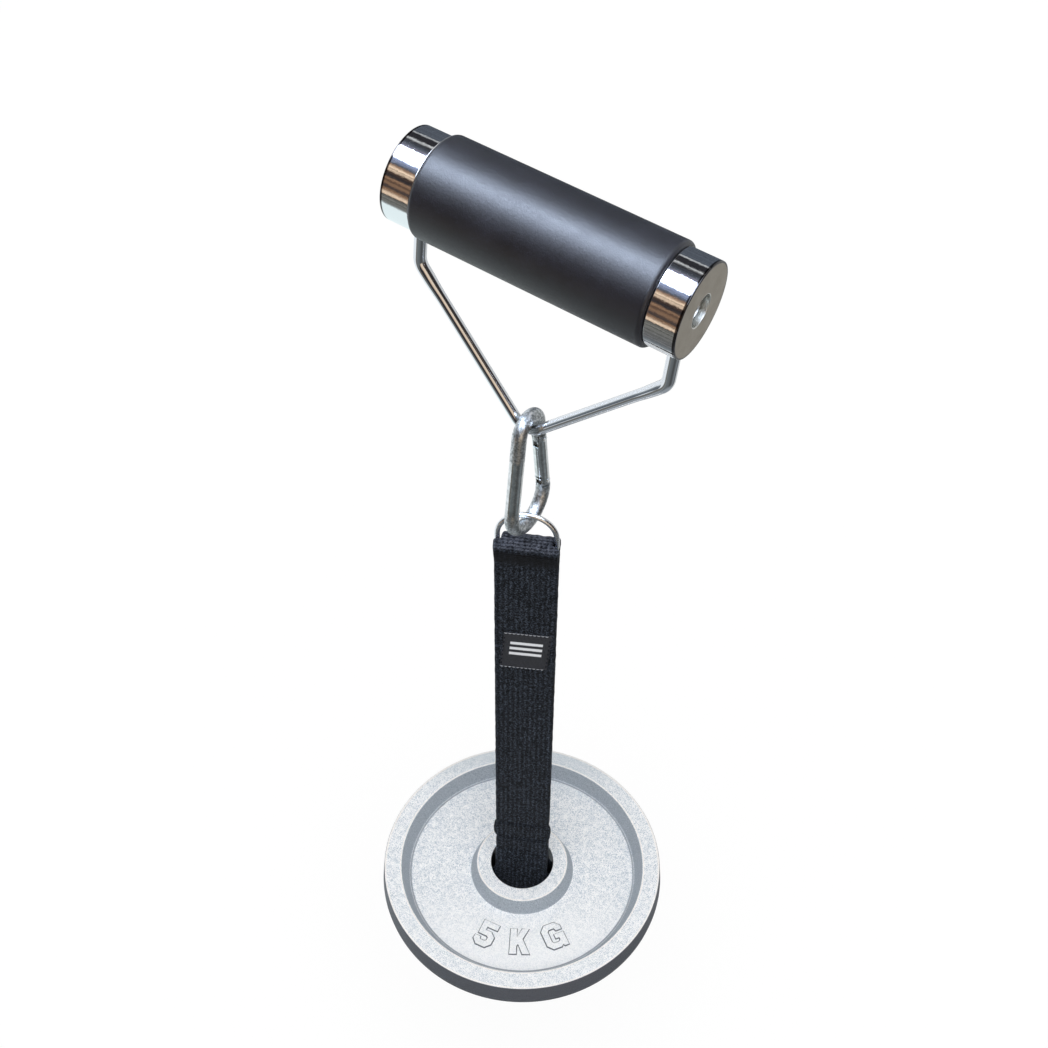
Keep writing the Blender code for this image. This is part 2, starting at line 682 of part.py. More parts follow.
def make_strap(strap_axis):
    near = strap_half_path()
    far = [(-offset, height) for offset, height in near[-2:0:-1]]
    loop = [Vector(point) for point in near + far]
    shape = bmesh.new()
    rings = []
    for i, point in enumerate(loop):
        tangent = (loop[(i + 1) % len(loop)] - loop[i - 1]).normalized()
        outward = Vector((-tangent.y, tangent.x)) * ply_thickness(point.y)
        ring = []
        for sign_across, layer in ((-1, 0), (1, 0), (1, 1), (-1, 1)):
            place = point + layer * outward
            across = sign_across * strap_half_width(point.y)
            ring.append(shape.verts.new((across, place.x, place.y)))
        rings.append(ring)
    for i, ring in enumerate(rings):
        last = rings[i - 1]
        for k in range(4):
            n = (k + 1) % 4
            shape.faces.new((last[k], last[n], ring[n], ring[k]))
    finish_mesh("strap_webbing", shape, "webbing", strap_axis)


def make_label(strap_axis):
    front = PLY_INNER_FACE + WEBBING_THICKNESS + GAP
    half = LABEL_WIDTH / 2
    outline = rounded_rectangle(half, LABEL_HEIGHT / 2, 1.0 * MM)
    label = finish_mesh("label_patch", prism(outline, 0.0, LABEL_THICKNESS), "label_cloth", strap_axis)
    label.location = (0, -front, RING_BAR_Z - LABEL_DROP)
    label.rotation_euler = (math.pi / 2, -LABEL_TURN, 0)


def rounded_rectangle(half_width, half_height, radius):
    outline = []
    for k, (side, level) in enumerate(((1, 1), (-1, 1), (-1, -1), (1, -1))):
        centre = (side * (half_width - radius), level * (half_height - radius))
        outline += arc(centre, radius, k * math.pi / 2, (k + 1) * math.pi / 2, 3)
    return outline


def make_bar(bar_axis):
    outline = rod_outline(BAR_DIAMETER / 2, -BAR_LENGTH / 2, BAR_LENGTH / 2, BAR_CHAMFER)
    finish_mesh("loading_bar", turned(outline, 32), "black_coat", bar_axis, rotation=(0, math.pi / 2, 0))


def make_plate(plate_axis):
    hole = PLATE_HOLE / 2
    rim = PLATE_TOP_DIAMETER / 2
    widest = PLATE_DIAMETER / 2
    foot = -PLATE_THICKNESS
    foot_round = arc(
        (widest - PLATE_FOOT_ROUND, foot + PLATE_FOOT_ROUND), PLATE_FOOT_ROUND, 0, -math.pi / 2, 4
    )
    outline = [
        (hole, -HOLE_CHAMFER),
        (hole + HOLE_CHAMFER, 0.0),
        (HUB_TOP_DIAMETER / 2 - PLATE_EDGE, 0.0),
        (HUB_TOP_DIAMETER / 2, -PLATE_EDGE),
        (HUB_BASE_DIAMETER / 2 - 0.4 * PLATE_FILLET, -PLATE_RECESS + PLATE_FILLET),
        (HUB_BASE_DIAMETER / 2 + 0.4 * PLATE_FILLET, -PLATE_RECESS + 0.3 * PLATE_FILLET),
        (HUB_BASE_DIAMETER / 2 + PLATE_FILLET, -PLATE_RECESS),
        (PLATE_WEB_OUTER / 2 - PLATE_FILLET, -PLATE_RECESS),
        (PLATE_WEB_OUTER / 2 - 0.4 * PLATE_FILLET, -PLATE_RECESS + 0.3 * PLATE_FILLET),
        (PLATE_WEB_OUTER / 2 + 0.4 * PLATE_FILLET, -PLATE_RECESS + PLATE_FILLET),
        (PLATE_RIM_INNER / 2, -PLATE_EDGE),
        (PLATE_RIM_INNER / 2 + PLATE_EDGE, 0.0),
        (rim - PLATE_EDGE, 0.0),
        (rim, -PLATE_EDGE),
    ]
    outline += foot_round
    outline += [(hole + HOLE_CHAMFER, foot), (hole, foot + HOLE_CHAMFER)]
    finish_mesh("weight_plate", turned(outline, 60), "cast_silver", plate_axis)


def main():
    clear_scene()
    handle = empty("handle_axis", rotation=(0, HANDLE_TILT, 0))
    along_handle = empty("grip_axis", rotation=(0, math.pi / 2, 0), parent=handle)
    make_sleeve(along_handle)
    make_core_shaft(along_handle)
    for side in ("left", "right"):
        make_handle_end(side, handle)
    make_bail(handle)

    hook_axis = empty("hook_axis", (HANG_X, 0, HOOK_TOP_Z))
    gate_axis = gate_frame(hook_axis)
    make_hook_body(hook_axis, gate_axis)
    make_gate(gate_axis)

    strap_axis = empty("strap_axis", (HANG_X, 0, 0), (0, 0, STRAP_TURN))
    make_ring(strap_axis)
    make_strap(strap_axis)
    make_label(strap_axis)
    bar_axis = empty("bar_axis", (0, 0, BAR_Z), parent=strap_axis)
    make_bar(bar_axis)
    plate_axis = empty("plate_axis", (HANG_X, 0, PLATE_TOP_Z))
    make_plate(plate_axis)


main()
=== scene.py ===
import math

import bmesh
import bpy
from mathutils import Matrix, Vector, noise


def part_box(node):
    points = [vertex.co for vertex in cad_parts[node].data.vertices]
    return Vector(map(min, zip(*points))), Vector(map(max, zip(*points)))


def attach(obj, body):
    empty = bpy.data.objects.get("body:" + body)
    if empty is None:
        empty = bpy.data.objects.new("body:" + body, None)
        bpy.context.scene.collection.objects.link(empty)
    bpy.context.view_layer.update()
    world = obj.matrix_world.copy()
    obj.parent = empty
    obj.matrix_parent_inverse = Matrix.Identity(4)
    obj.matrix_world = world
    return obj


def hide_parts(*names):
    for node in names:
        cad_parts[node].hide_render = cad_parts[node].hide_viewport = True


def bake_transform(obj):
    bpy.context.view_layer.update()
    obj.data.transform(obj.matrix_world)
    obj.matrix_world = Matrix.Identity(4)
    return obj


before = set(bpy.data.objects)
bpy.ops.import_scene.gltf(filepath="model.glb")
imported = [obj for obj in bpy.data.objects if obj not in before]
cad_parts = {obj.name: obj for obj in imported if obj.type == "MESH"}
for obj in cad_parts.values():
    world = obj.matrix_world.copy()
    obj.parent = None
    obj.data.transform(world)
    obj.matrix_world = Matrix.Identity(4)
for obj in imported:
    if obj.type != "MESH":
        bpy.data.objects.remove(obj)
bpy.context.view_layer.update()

MM = 0.001
CLEARANCE = 0.3 * MM
DEGREE = math.pi / 180
QUARTER = math.pi / 2
ROUND = 2 * math.pi
RIGHT = Vector((1, 0, 0))
DEPTHWISE = Vector((0, 1, 0))
UP = Vector((0, 0, 1))

# Sizes of the handle, as the solids have them
HANDLE_TILT = 5.2 * DEGREE
SLEEVE_RADIUS = 30.0 * MM
SLEEVE_HALF = 72.2 * MM
SLEEVE_BORE = 22.1 * MM
SLEEVE_LIP = 2.6 * MM
SLEEVE_CHAMFER = 0.5 * MM
COLLAR_RADIUS = 27.5 * MM
COLLAR_LENGTH = 18.7 * MM
COLLAR_EDGE = 0.6 * MM
COLLAR_FACE = SLEEVE_HALF + CLEARANCE
HANDLE_END = COLLAR_FACE + COLLAR_LENGTH
CORE_SEAT = 3.0 * MM
CORE_RADIUS = 12.5 * MM
RECESS_RADIUS = 9.3 * MM
RECESS_FLOOR = HANDLE_END - 11.0 * MM
SCREW_RADIUS = 4.0 * MM
SCREW_SEAT = RECESS_FLOOR + 2.3 * MM
SCREW_HEAD_RADIUS = 6.5 * MM
SCREW_HEAD_HEIGHT = 5.5 * MM
SCREW_EDGE = 0.9 * MM
SCREW_LENGTH = 26.0 * MM
SOCKET_FLATS = 5.0 * MM
SOCKET_DEPTH = 3.2 * MM

# Sizes of the bail and the hook
BAIL_ROD = 6.6 * MM
BAIL_END_DEPTH = 11.5 * MM
BAIL_HOLE_DEPTH = 22.0 * MM
BAIL_SHOULDER_DROP = 57.3 * MM
BAIL_VERTEX_DROP = 146.8 * MM
BAIL_SHOULDER_RADIUS = 12.0 * MM
LEG_SWELL = 0.55 * MM
BAIL_APEX_RADIUS = 11.7 * MM
BAIL_HALF_SPAN = COLLAR_FACE + COLLAR_LENGTH / 2
HOOK_ROD = 9.2 * MM
HOOK_LENGTH = 98.4 * MM
HOOK_SMALL_BOW = 10.4 * MM
HOOK_LARGE_BOW = 18.2 * MM
GATE_DIAMETER = 9.0 * MM
GATE_PIN_DROP = 15.4 * MM
GATE_SPAN = 39.4 * MM
GATE_OVERHANG = 4.0 * MM
GATE_EDGE = 0.7 * MM
FORK_DEPTH = 2.4 * MM
NOTCH_FLARE = 1.0 * MM
GATE_PIN_RADIUS = 1.5 * MM
PIN_HEAD_RADIUS = 1.9 * MM
PIN_HEAD_DEPTH = 0.9 * MM
PIN_HEAD_RISE = 0.25 * MM
PIN_HEAD_EDGE = 0.6 * MM
TONGUE_THICKNESS = 3.6 * MM
TONGUE_RADIUS = 0.44 * HOOK_ROD
ROD_MESH_STEP = 1.5 * MM

# Where the chain hangs
ROD_SPACING = HOOK_ROD / 2 + CLEARANCE + BAIL_ROD / 2
ARM_ANGLE = math.atan2(BAIL_VERTEX_DROP - BAIL_SHOULDER_DROP, BAIL_HALF_SPAN)
APEX_CENTRE_DROP = BAIL_VERTEX_DROP - BAIL_APEX_RADIUS / math.cos(ARM_ANGLE)
HANG_X = -math.sin(HANDLE_TILT) * APEX_CENTRE_DROP
HOOK_TOP_Z = -math.cos(HANDLE_TILT) * APEX_CENTRE_DROP - (BAIL_APEX_RADIUS - ROD_SPACING)

# Sizes of the ring, the strap and the bar
RING_ROD = 3.6 * MM
RING_INNER_WIDTH = 35.2 * MM
RING_HEIGHT = 28.5 * MM
RING_CORNER = 2.3 * MM
RING_TOP_Z = HOOK_TOP_Z - (HOOK_LENGTH - HOOK_ROD) + HOOK_ROD / 2 + CLEARANCE + RING_ROD / 2
RING_BAR_Z = RING_TOP_Z - RING_HEIGHT
STRAP_TURN = 24.0 * DEGREE
STRAP_WIDTH = 42.8 * MM
STRAP_NECK = 33.6 * MM
WEBBING_THICKNESS = 2.4 * MM
FOLD_THICKNESS = 5.5 * MM
FOLD_DROP = 18.0 * MM
STRAP_LENGTH = 417.5 * MM
PLY_INNER_FACE = CLEARANCE / 2
PLY_FACE = PLY_INNER_FACE + WEBBING_THICKNESS
BAR_SEAM_RISE = 57.0 * MM
SEAM_DROPS = (324.5 * MM, 345.0 * MM)
SEAM_MARGIN = 2.5 * MM
SEAM_ROW_OFFSET = 1.2 * MM
STITCH_LENGTH = 2.4 * MM
STITCH_GAP = 0.8 * MM
STITCH_RADIUS = 0.32 * MM
BAR_RADIUS = 11.0 * MM
BAR_LENGTH = 130.0 * MM
BAR_EDGE = 1.5 * MM
BAR_DIMPLE_RADIUS = 3.0 * MM
BAR_DIMPLE_DEPTH = 1.2 * MM
BAR_Z = RING_BAR_Z - STRAP_LENGTH

# Where the webbing's edges spread over the ring's legs, as angles round the ring's bar
FRONT_LEFT_EAR = 77 * DEGREE
FRONT_RIGHT_EAR = 68 * DEGREE
FRONT_RIGHT_SPREAD = 27 * DEGREE
BACK_RIGHT_EAR = 95 * DEGREE

# How far the ears stand off the ring's legs, and how the webbing spreads further down; in and under the
# plate's hole it is widened as a dark fill that stands in for shade there
LEG_CLEAR = 1.95 * MM
EAR_THICKNESS = 1.5 * MM
SEAM_PINCH = 0.8 * MM
LEFT_BULGE = 1.8 * MM
RIGHT_BULGE = 1.1 * MM
HOLE_SHADE_SPREAD = 3.1 * MM
EYE_SHADE_SPREAD = 2.1 * MM

# How fine the webbing's mesh is
WEBBING_STEP = 1.6 * MM
EAR_COLUMNS = 8
INNER_COLUMNS = 56
INNER_HALF = 16.4 * MM

# How far below the ring's bar a bend of the strap would begin and end; the strap is built without a bend
BEND_START = 2.5 * MM
BEND_END = 22.0 * MM

# Sizes of the label and its plain bars
LABEL_WIDTH = 33.4 * MM
LABEL_HEIGHT = 37.4 * MM
LABEL_DROP = 105.9 * MM
LABEL_TURN = 2.2 * DEGREE
LABEL_LEAN = 4.6 * DEGREE
LABEL_RAISED = 1.6 * MM
LABEL_ASIDE = 0.6 * MM
LABEL_COLUMNS = 56
LABEL_ROWS = 60
LABEL_BAR_HEIGHTS = (8.25 * MM, 2.65 * MM, -2.95 * MM)
LABEL_BAR_HALF_HEIGHT = 1.5 * MM
LABEL_BAR_HALF_WIDTH = 11.5 * MM
LABEL_BAR_EDGE = 0.25 * MM

# Sizes of the plate and its raised marks
PLATE_TOP_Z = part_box("weight_plate")[1].z
PLATE_THICKNESS = 24.0 * MM
PLATE_TOP_RADIUS = 113.7 * MM
PLATE_RADIUS = 115.2 * MM
PLATE_DRAFT_RISE = 9.0 * MM
PLATE_DRAFT = 1.5 * MM
PLATE_HOLE = 25.4 * MM
HOLE_CHAMFER = 0.5 * MM
RIM_INNER = 99.5 * MM
WEB_OUTER = 93.5 * MM
PLATE_RECESS = 12.4 * MM
HUB_TOP = 37.5 * MM
HUB_BASE = 42.2 * MM
MARK_RADIUS = 66.8 * MM
MARK_RISE = 0.7 * MM
MARK_NARROW = 0.88
MARK_AZIMUTH = -58.9 * DEGREE
MARK_STEP = 24.2 * DEGREE

# The camera stands where the photograph was taken from
CAMERA_PLACE = (0.34156, -0.56654, 0.47310)
CAMERA_YAW = 32.12 * DEGREE
CAMERA_PITCH = 46.20 * DEGREE
CAMERA_ROLL = 0.73 * DEGREE
CAMERA_LENS = 52.12
CAMERA_SENSOR = 36.0
FLOOR_Z = -0.93
FLOOR_HALF = 8.0


def turn(angle, axis):
    return Matrix.Rotation(angle, 4, axis)


def move(x, y, z):
    return Matrix.Translation((x, y, z))


handle_turn = turn(HANDLE_TILT, "Y")
along_handle = handle_turn @ turn(QUARTER, "Y")
hook_place = move(HANG_X, 0, HOOK_TOP_Z)
strap_place = move(HANG_X, 0, 0) @ turn(STRAP_TURN, "Z")
plate_place = move(HANG_X, 0, PLATE_TOP_Z)


# Node helpers

class Value:
    """A number, vector or colour that a node gives. Sums and products of numbers add Math nodes."""

    def __init__(self, tree, socket):
        self.tree = tree
        self.socket = socket

    def __add__(self, other):
        return maths("ADD", self, other)

    def __sub__(self, other):
        return maths("SUBTRACT", self, other)

    def __mul__(self, other):
        return maths("MULTIPLY", self, other)

    def __abs__(self):
        return maths("ABSOLUTE", self)


def set_inputs(node, inputs):
    """Sets or links a node's inputs, by name or number; a colour is an (r, g, b)."""
    for name, value in inputs.items():
        socket = node.inputs[name]
        if isinstance(value, Value):
            value.tree.links.new(value.socket, socket)
        else:
            socket.default_value = (*value, 1.0) if socket.type == "RGBA" else value


def add(tree, kind, inputs=None, **settings):
    node = tree.nodes.new(kind)
    for name, value in settings.items():
        setattr(node, name, value)
    set_inputs(node, inputs or {})
    return node


def given(tree, kind, output, inputs=None, **settings):
    """What a new node gives at one of its outputs."""
    return Value(tree, add(tree, kind, inputs, **settings).outputs[output])


def maths(operation, first, second=0.0):
    return given(first.tree, "ShaderNodeMath", "Value", {0: first, 1: second}, operation=operation)


def vector_maths(operation, first, second=(0, 0, 0), output="Vector"):
    tree = (first if isinstance(first, Value) else second).tree
    slot = "Scale" if operation == "SCALE" else 1
    return given(tree, "ShaderNodeVectorMath", output, {0: first, slot: second}, operation=operation)


def along_axis(point, direction):
    return vector_maths("DOT_PRODUCT", point, direction, "Value")


def object_point(tree):
    return given(tree, "ShaderNodeTexCoord", "Object")


def mottle(point, size, detail=3.0, roughness=0.55, distortion=0.0):
    inputs = {"Vector": point, "Scale": 1 / size, "Detail": detail, "Roughness": roughness,
              "Distortion": distortion}
    return given(point.tree, "ShaderNodeTexNoise", "Fac", inputs)


def mapped(value, low, high, to_low=0.0, to_high=1.0, smooth=False):
    inputs = {"Value": value, "From Min": low, "From Max": high, "To Min": to_low, "To Max": to_high}
    kind = "SMOOTHSTEP" if smooth else "LINEAR"
    return given(value.tree, "ShaderNodeMapRange", "Result", inputs, interpolation_type=kind)


def mixed(share, first, second, kind="RGBA"):
    """A colour, number or vector between two others."""
    low, high, output = {"FLOAT": (2, 3, 0), "VECTOR": (4, 5, 1), "RGBA": (6, 7, 2)}[kind]
    inputs = {"Factor": share, low: first, high: second}
    return given(share.tree, "ShaderNodeMix", output, inputs, data_type=kind)


def bump(height, distance, strength=1.0, below=None):
    inputs = {"Height": height, "Distance": distance, "Strength": strength}
    if below is not None:
        inputs["Normal"] = below
    return given(height.tree, "ShaderNodeBump", "Normal", inputs)


def shader_switch(tree, ray, otherwise, seen):
    """One shader for a kind of ray, and another for the rest."""
    share = given(tree, "ShaderNodeLightPath", ray)
    return given(tree, "ShaderNodeMixShader", 0, {0: share, 1: otherwise, 2: seen})


# Materials

def new_material(name, colour, roughness, metallic=0.0):
    made = bpy.data.materials.new(name)
    made.use_nodes = True
    shader = made.node_tree.nodes["Principled BSDF"]
    set_inputs(shader, {"Base Color": colour, "Roughness": roughness, "Metallic": metallic})
    return made, made.node_tree, shader


def darker(colour, share):
    return tuple(share * part for part in colour)


def make_plain_material(name, tones, clouds, grain, rough, relief, spread=(0.35, 0.7), metallic=0.0,
                        strength=0.5, swell=0.0, specular=0.5):
    """A finish whose tone drifts in clouds and whose shine and relief follow a finer grain.

    Clouds and grain are each (size, detail, roughness, distortion) or as many of these as differ.
    """
    even = isinstance(rough, float)
    made, tree, shader = new_material(name, tones[1], rough if even else rough[0], metallic)
    point = object_point(tree)
    cloudy = mottle(point, *clouds)
    fine = mottle(point, *grain)
    below = bump(cloudy, swell, 0.5) if swell else None
    set_inputs(shader, {
        "Base Color": mixed(mapped(cloudy, *spread), *tones),
        "Roughness": rough if even else mapped(fine, 0.3, 0.7, *rough),
        "Normal": bump(fine, relief, strength, below),
        "Specular IOR Level": specular,
    })
    return made


def make_zinc_material(name, low, high, rough):
    """Bright plating with a mottled, lightly handled surface."""
    return make_plain_material(name, (low, high), clouds=(4.5 * MM, 4.0, 0.6, 0.6),
                               grain=(1.1 * MM, 3.0, 0.6), rough=rough, relief=0.03 * MM,
                               spread=(0.35, 0.65), metallic=1.0, swell=0.10 * MM)


def make_thread_material(name, colour):
    twist = (0.3 * MM, 2.0)
    return make_plain_material(name, (darker(colour, 0.55), colour), clouds=twist, grain=twist, rough=0.7,
                               relief=0.05 * MM, spread=(0.3, 0.7), strength=1.0, specular=0.1)


def make_grip_material():
    """Smooth black plastic with a soft bluish sheen and a fine grain."""
    made, tree, shader = new_material("grip_black", (0.017, 0.018, 0.022), 0.45)
    point = object_point(tree)
    grain = mottle(point, 0.9 * MM, 4.0, 0.7)
    wear = mottle(point, 16 * MM)
    set_inputs(shader, {
        "Base Color": mixed(mapped(wear, 0.35, 0.7), (0.005, 0.005, 0.008), (0.009, 0.009, 0.014)),
        "Roughness": mapped(grain, 0.3, 0.7, -0.06, 0.06) + mapped(wear, 0.3, 0.7, 0.42, 0.46),
        "Normal": bump(grain, 0.12 * MM, 0.7),
        "Specular IOR Level": 0.90,
    })
    return made


def make_chrome_material():
    """Polished plating with a faint waviness."""
    made, tree, shader = new_material("chrome", (0.83, 0.84, 0.86), 0.05, 1.0)
    point = object_point(tree)
    set_inputs(shader, {
        "Roughness": mapped(mottle(point, 6 * MM, 4.0), 0.3, 0.75, 0.04, 0.10),
        "Normal": bump(mottle(point, 3 * MM, 2.0, 0.5), 0.008 * MM, 0.5),
    })
    return made


def make_collar_material():
    """Polished plating with a slight waviness; the end faces and their recesses are turned steel, with a
    thin dark ring painted round each end face's edge as a painted reflection.
    """
    plating = (0.86, 0.86, 0.87)
    made, tree, shader = new_material("collar_chrome", plating, 0.05, 1.0)
    point = object_point(tree)
    axis = along_handle @ UP
    along = along_axis(point, axis)
    distance = abs(along)
    off_axis = vector_maths("SUBTRACT", point, vector_maths("SCALE", axis, along))
    radius = vector_maths("LENGTH", off_axis, output="Value")
    recess = mapped(radius, RECESS_RADIUS + 0.7 * MM, RECESS_RADIUS + 0.6 * MM)
    end = mapped(distance, HANDLE_END - 0.08 * MM, HANDLE_END - 0.03 * MM)
    face = maths("MAXIMUM", end, recess)
    grain = mottle(point, 0.5 * MM, 5.0, 0.7)
    turned_steel = mixed(mapped(grain, 0.3, 0.7), (0.31, 0.265, 0.205), (0.41, 0.36, 0.285))
    steel = mixed(recess, turned_steel, (0.80, 0.79, 0.73))
    # Painted reflection: a thin dark ring on the end face's rounded edge, where the bevel would mirror dark
    # surroundings.
    by_end = mapped(distance, HANDLE_END - 1.7 * MM, HANDLE_END - 1.3 * MM)
    rim = by_end * mapped(radius, COLLAR_RADIUS - 1.3 * MM, COLLAR_RADIUS - 0.9 * MM)
    haze = mapped(mottle(point, 5 * MM, 4.0), 0.3, 0.75, 0.03, 0.08)
    matt = mapped(mottle(point, 9 * MM), 0.3, 0.7, 0.34, 0.42)
    smooth = bump(mottle(point, 3.6 * MM, 3.0, 0.6), 0.10 * MM, 0.5)
    set_inputs(shader, {
        "Base Color": mixed(rim, mixed(face, plating, steel), (0.075, 0.07, 0.07)),
        "Roughness": mixed(face, haze, matt, "FLOAT"),
        "Normal": mixed(face, smooth, bump(grain, 0.03 * MM, 0.6), "VECTOR"),
    })
    return made


def make_hook_material():
    """Bright plating, duller and mottled where the rod was bent."""
    made, tree, shader = new_material("hook_zinc", (0.8, 0.82, 0.82), 0.1, 1.0)
    point = object_point(tree)
    height = along_axis(point, UP)
    upper = mapped(height, HOOK_TOP_Z - 27 * MM, HOOK_TOP_Z - 22 * MM, smooth=True)
    lower = mapped(height, HOOK_TOP_Z - 60 * MM, HOOK_TOP_Z - 70 * MM, smooth=True)
    bent = maths("MAXIMUM", upper, lower)
    cloud = mottle(point, 4.5 * MM, 4.0, 0.6, 0.6)
    spots = mottle(point, 1.6 * MM, 3.0, 0.7)
    plain = mixed(mapped(cloud, 0.35, 0.65), (0.60, 0.62, 0.61), (0.84, 0.86, 0.86))
    mottled = mixed(mapped(spots, 0.40, 0.62), (0.34, 0.36, 0.36), (0.80, 0.82, 0.83))
    bright = mapped(spots, 0.3, 0.7, 0.08, 0.18)
    dull = mapped(spots, 0.35, 0.65, 0.50, 0.30)
    dents = spots * mapped(bent, 0.0, 1.0, 0.25, 1.0)
    set_inputs(shader, {
        "Base Color": mixed(bent, plain, mottled),
        "Roughness": mixed(bent, bright, dull, "FLOAT"),
        "Normal": bump(dents, 0.30 * MM, 0.6, bump(cloud, 0.10 * MM, 0.5)),
    })
    return made


def webbing_point(tree):
    """The place on a woven piece: across its width, along its length, and both as a point."""
    across, along = [given(tree, "ShaderNodeAttribute", "Fac", attribute_name=name)
                     for name in ("across", "along")]
    return across, along, given(tree, "ShaderNodeCombineXYZ", "Vector", {"X": across, "Y": along})


def wave(value, length):
    """A sine of the value, from 0 to 1, with that wavelength."""
    return mapped(maths("SINE", value * (ROUND / length)), -1.0, 1.0)


def make_webbing_material():
    """Heavy black webbing: crossing yarns of uneven shine and lengthwise ribs; over the fold the ribs are
    painted paler as a painted highlight, and the band below the fold is darkened as painted shade.
    """
    made, tree, shader = new_material("webbing", (0.011, 0.015, 0.021), 0.8)
    across, along, point = webbing_point(tree)
    drift = mottle(point, 3 * MM, 2.0) * (2.4 * MM)
    crossings = given(tree, "ShaderNodeTexVoronoi", "Color", {"Vector": point, "Scale": 1 / (0.75 * MM)})
    shine = given(tree, "ShaderNodeSeparateColor", "Red", {"Color": crossings})
    weave = shine * 0.80 + wave(across + along + drift, 1.9 * MM) * 0.16
    weave = weave + wave(across, 3.55 * MM) * 0.20 + mottle(point, 0.45 * MM, 2.0, 0.75) * 0.30
    lit = mapped(weave, 0.55, 1.25)
    body = mixed(lit * lit, (0.0005, 0.001, 0.002), (0.070, 0.087, 0.118))
    flecks = mapped(mottle(point, 0.55 * MM, 1.0, 0.8), 0.64, 0.72)
    body = mixed(flecks, body, (0.11, 0.125, 0.15))

    # Painted highlight: the ribs over the fold, which faces up towards the light, are painted pale in
    # patches.
    ribs = wave(along + drift * 0.7, 2.3 * MM) + weave * 1.5
    painted_highlight_ribs = mixed(mapped(ribs, 0.8, 2.8), (0.010, 0.012, 0.018), (0.19, 0.21, 0.27))
    patches = mapped(mottle(point, 7 * MM), 0.35, 0.6, 0.25, 1.0)
    fold = mapped(along, 11.5 * MM, 8 * MM) * mapped(along, -9 * MM, -4 * MM)
    # Painted shade: a dark band below the fold, where the turned-back webbing overhangs.
    painted_fold_shadow = mapped(along, 10 * MM, 13 * MM) * mapped(along, 34 * MM, 22 * MM)
    cloth = mixed(fold * patches, body, painted_highlight_ribs)
    set_inputs(shader, {
        "Base Color": mixed(painted_fold_shadow * 0.80, cloth, (0.001, 0.001, 0.002)),
        "Normal": bump(weave, 0.35 * MM, 0.8),
        "Sheen Weight": 0.02,
        "Sheen Roughness": 0.5,
        "Specular IOR Level": 0.15,
    })
    return made


def make_label_material():
    """A woven label with plain white bars in its middle."""
    made, tree, shader = new_material("label_cloth", (0.03, 0.034, 0.045), 0.75)
    across, along, point = webbing_point(tree)
    fibres = mottle(point, 0.6 * MM, 3.0, 0.7)
    weave = wave(across, 0.9 * MM) * 0.3 + wave(along, 0.7 * MM) * 0.5 + fibres * 1.2
    ground = mixed(mapped(weave, 0.7, 1.3), (0.006, 0.0065, 0.008), (0.056, 0.058, 0.066))
    white = mixed(mapped(weave, 0.4, 1.6), (0.60, 0.62, 0.65), (0.86, 0.87, 0.90))
    edge = along + fibres * (0.5 * MM)
    offsets = [abs(edge - height) for height in LABEL_BAR_HEIGHTS]
    nearest = maths("MINIMUM", maths("MINIMUM", offsets[0], offsets[1]), offsets[2])
    ink = mapped(nearest, LABEL_BAR_HALF_HEIGHT, LABEL_BAR_HALF_HEIGHT - LABEL_BAR_EDGE)
    ink = ink * mapped(abs(across), LABEL_BAR_HALF_WIDTH, LABEL_BAR_HALF_WIDTH - LABEL_BAR_EDGE)
    set_inputs(shader, {
        "Base Color": mixed(ink, ground, white),
        "Normal": bump(weave, 0.10 * MM, 0.7),
        "Specular IOR Level": 0.2,
    })
    return made


def near_radius(radius, place, half):
    """A share that is 1 at a radius and 0 outside a narrow band round it."""
    return mapped(abs(radius - place), half, 0.4 * half)


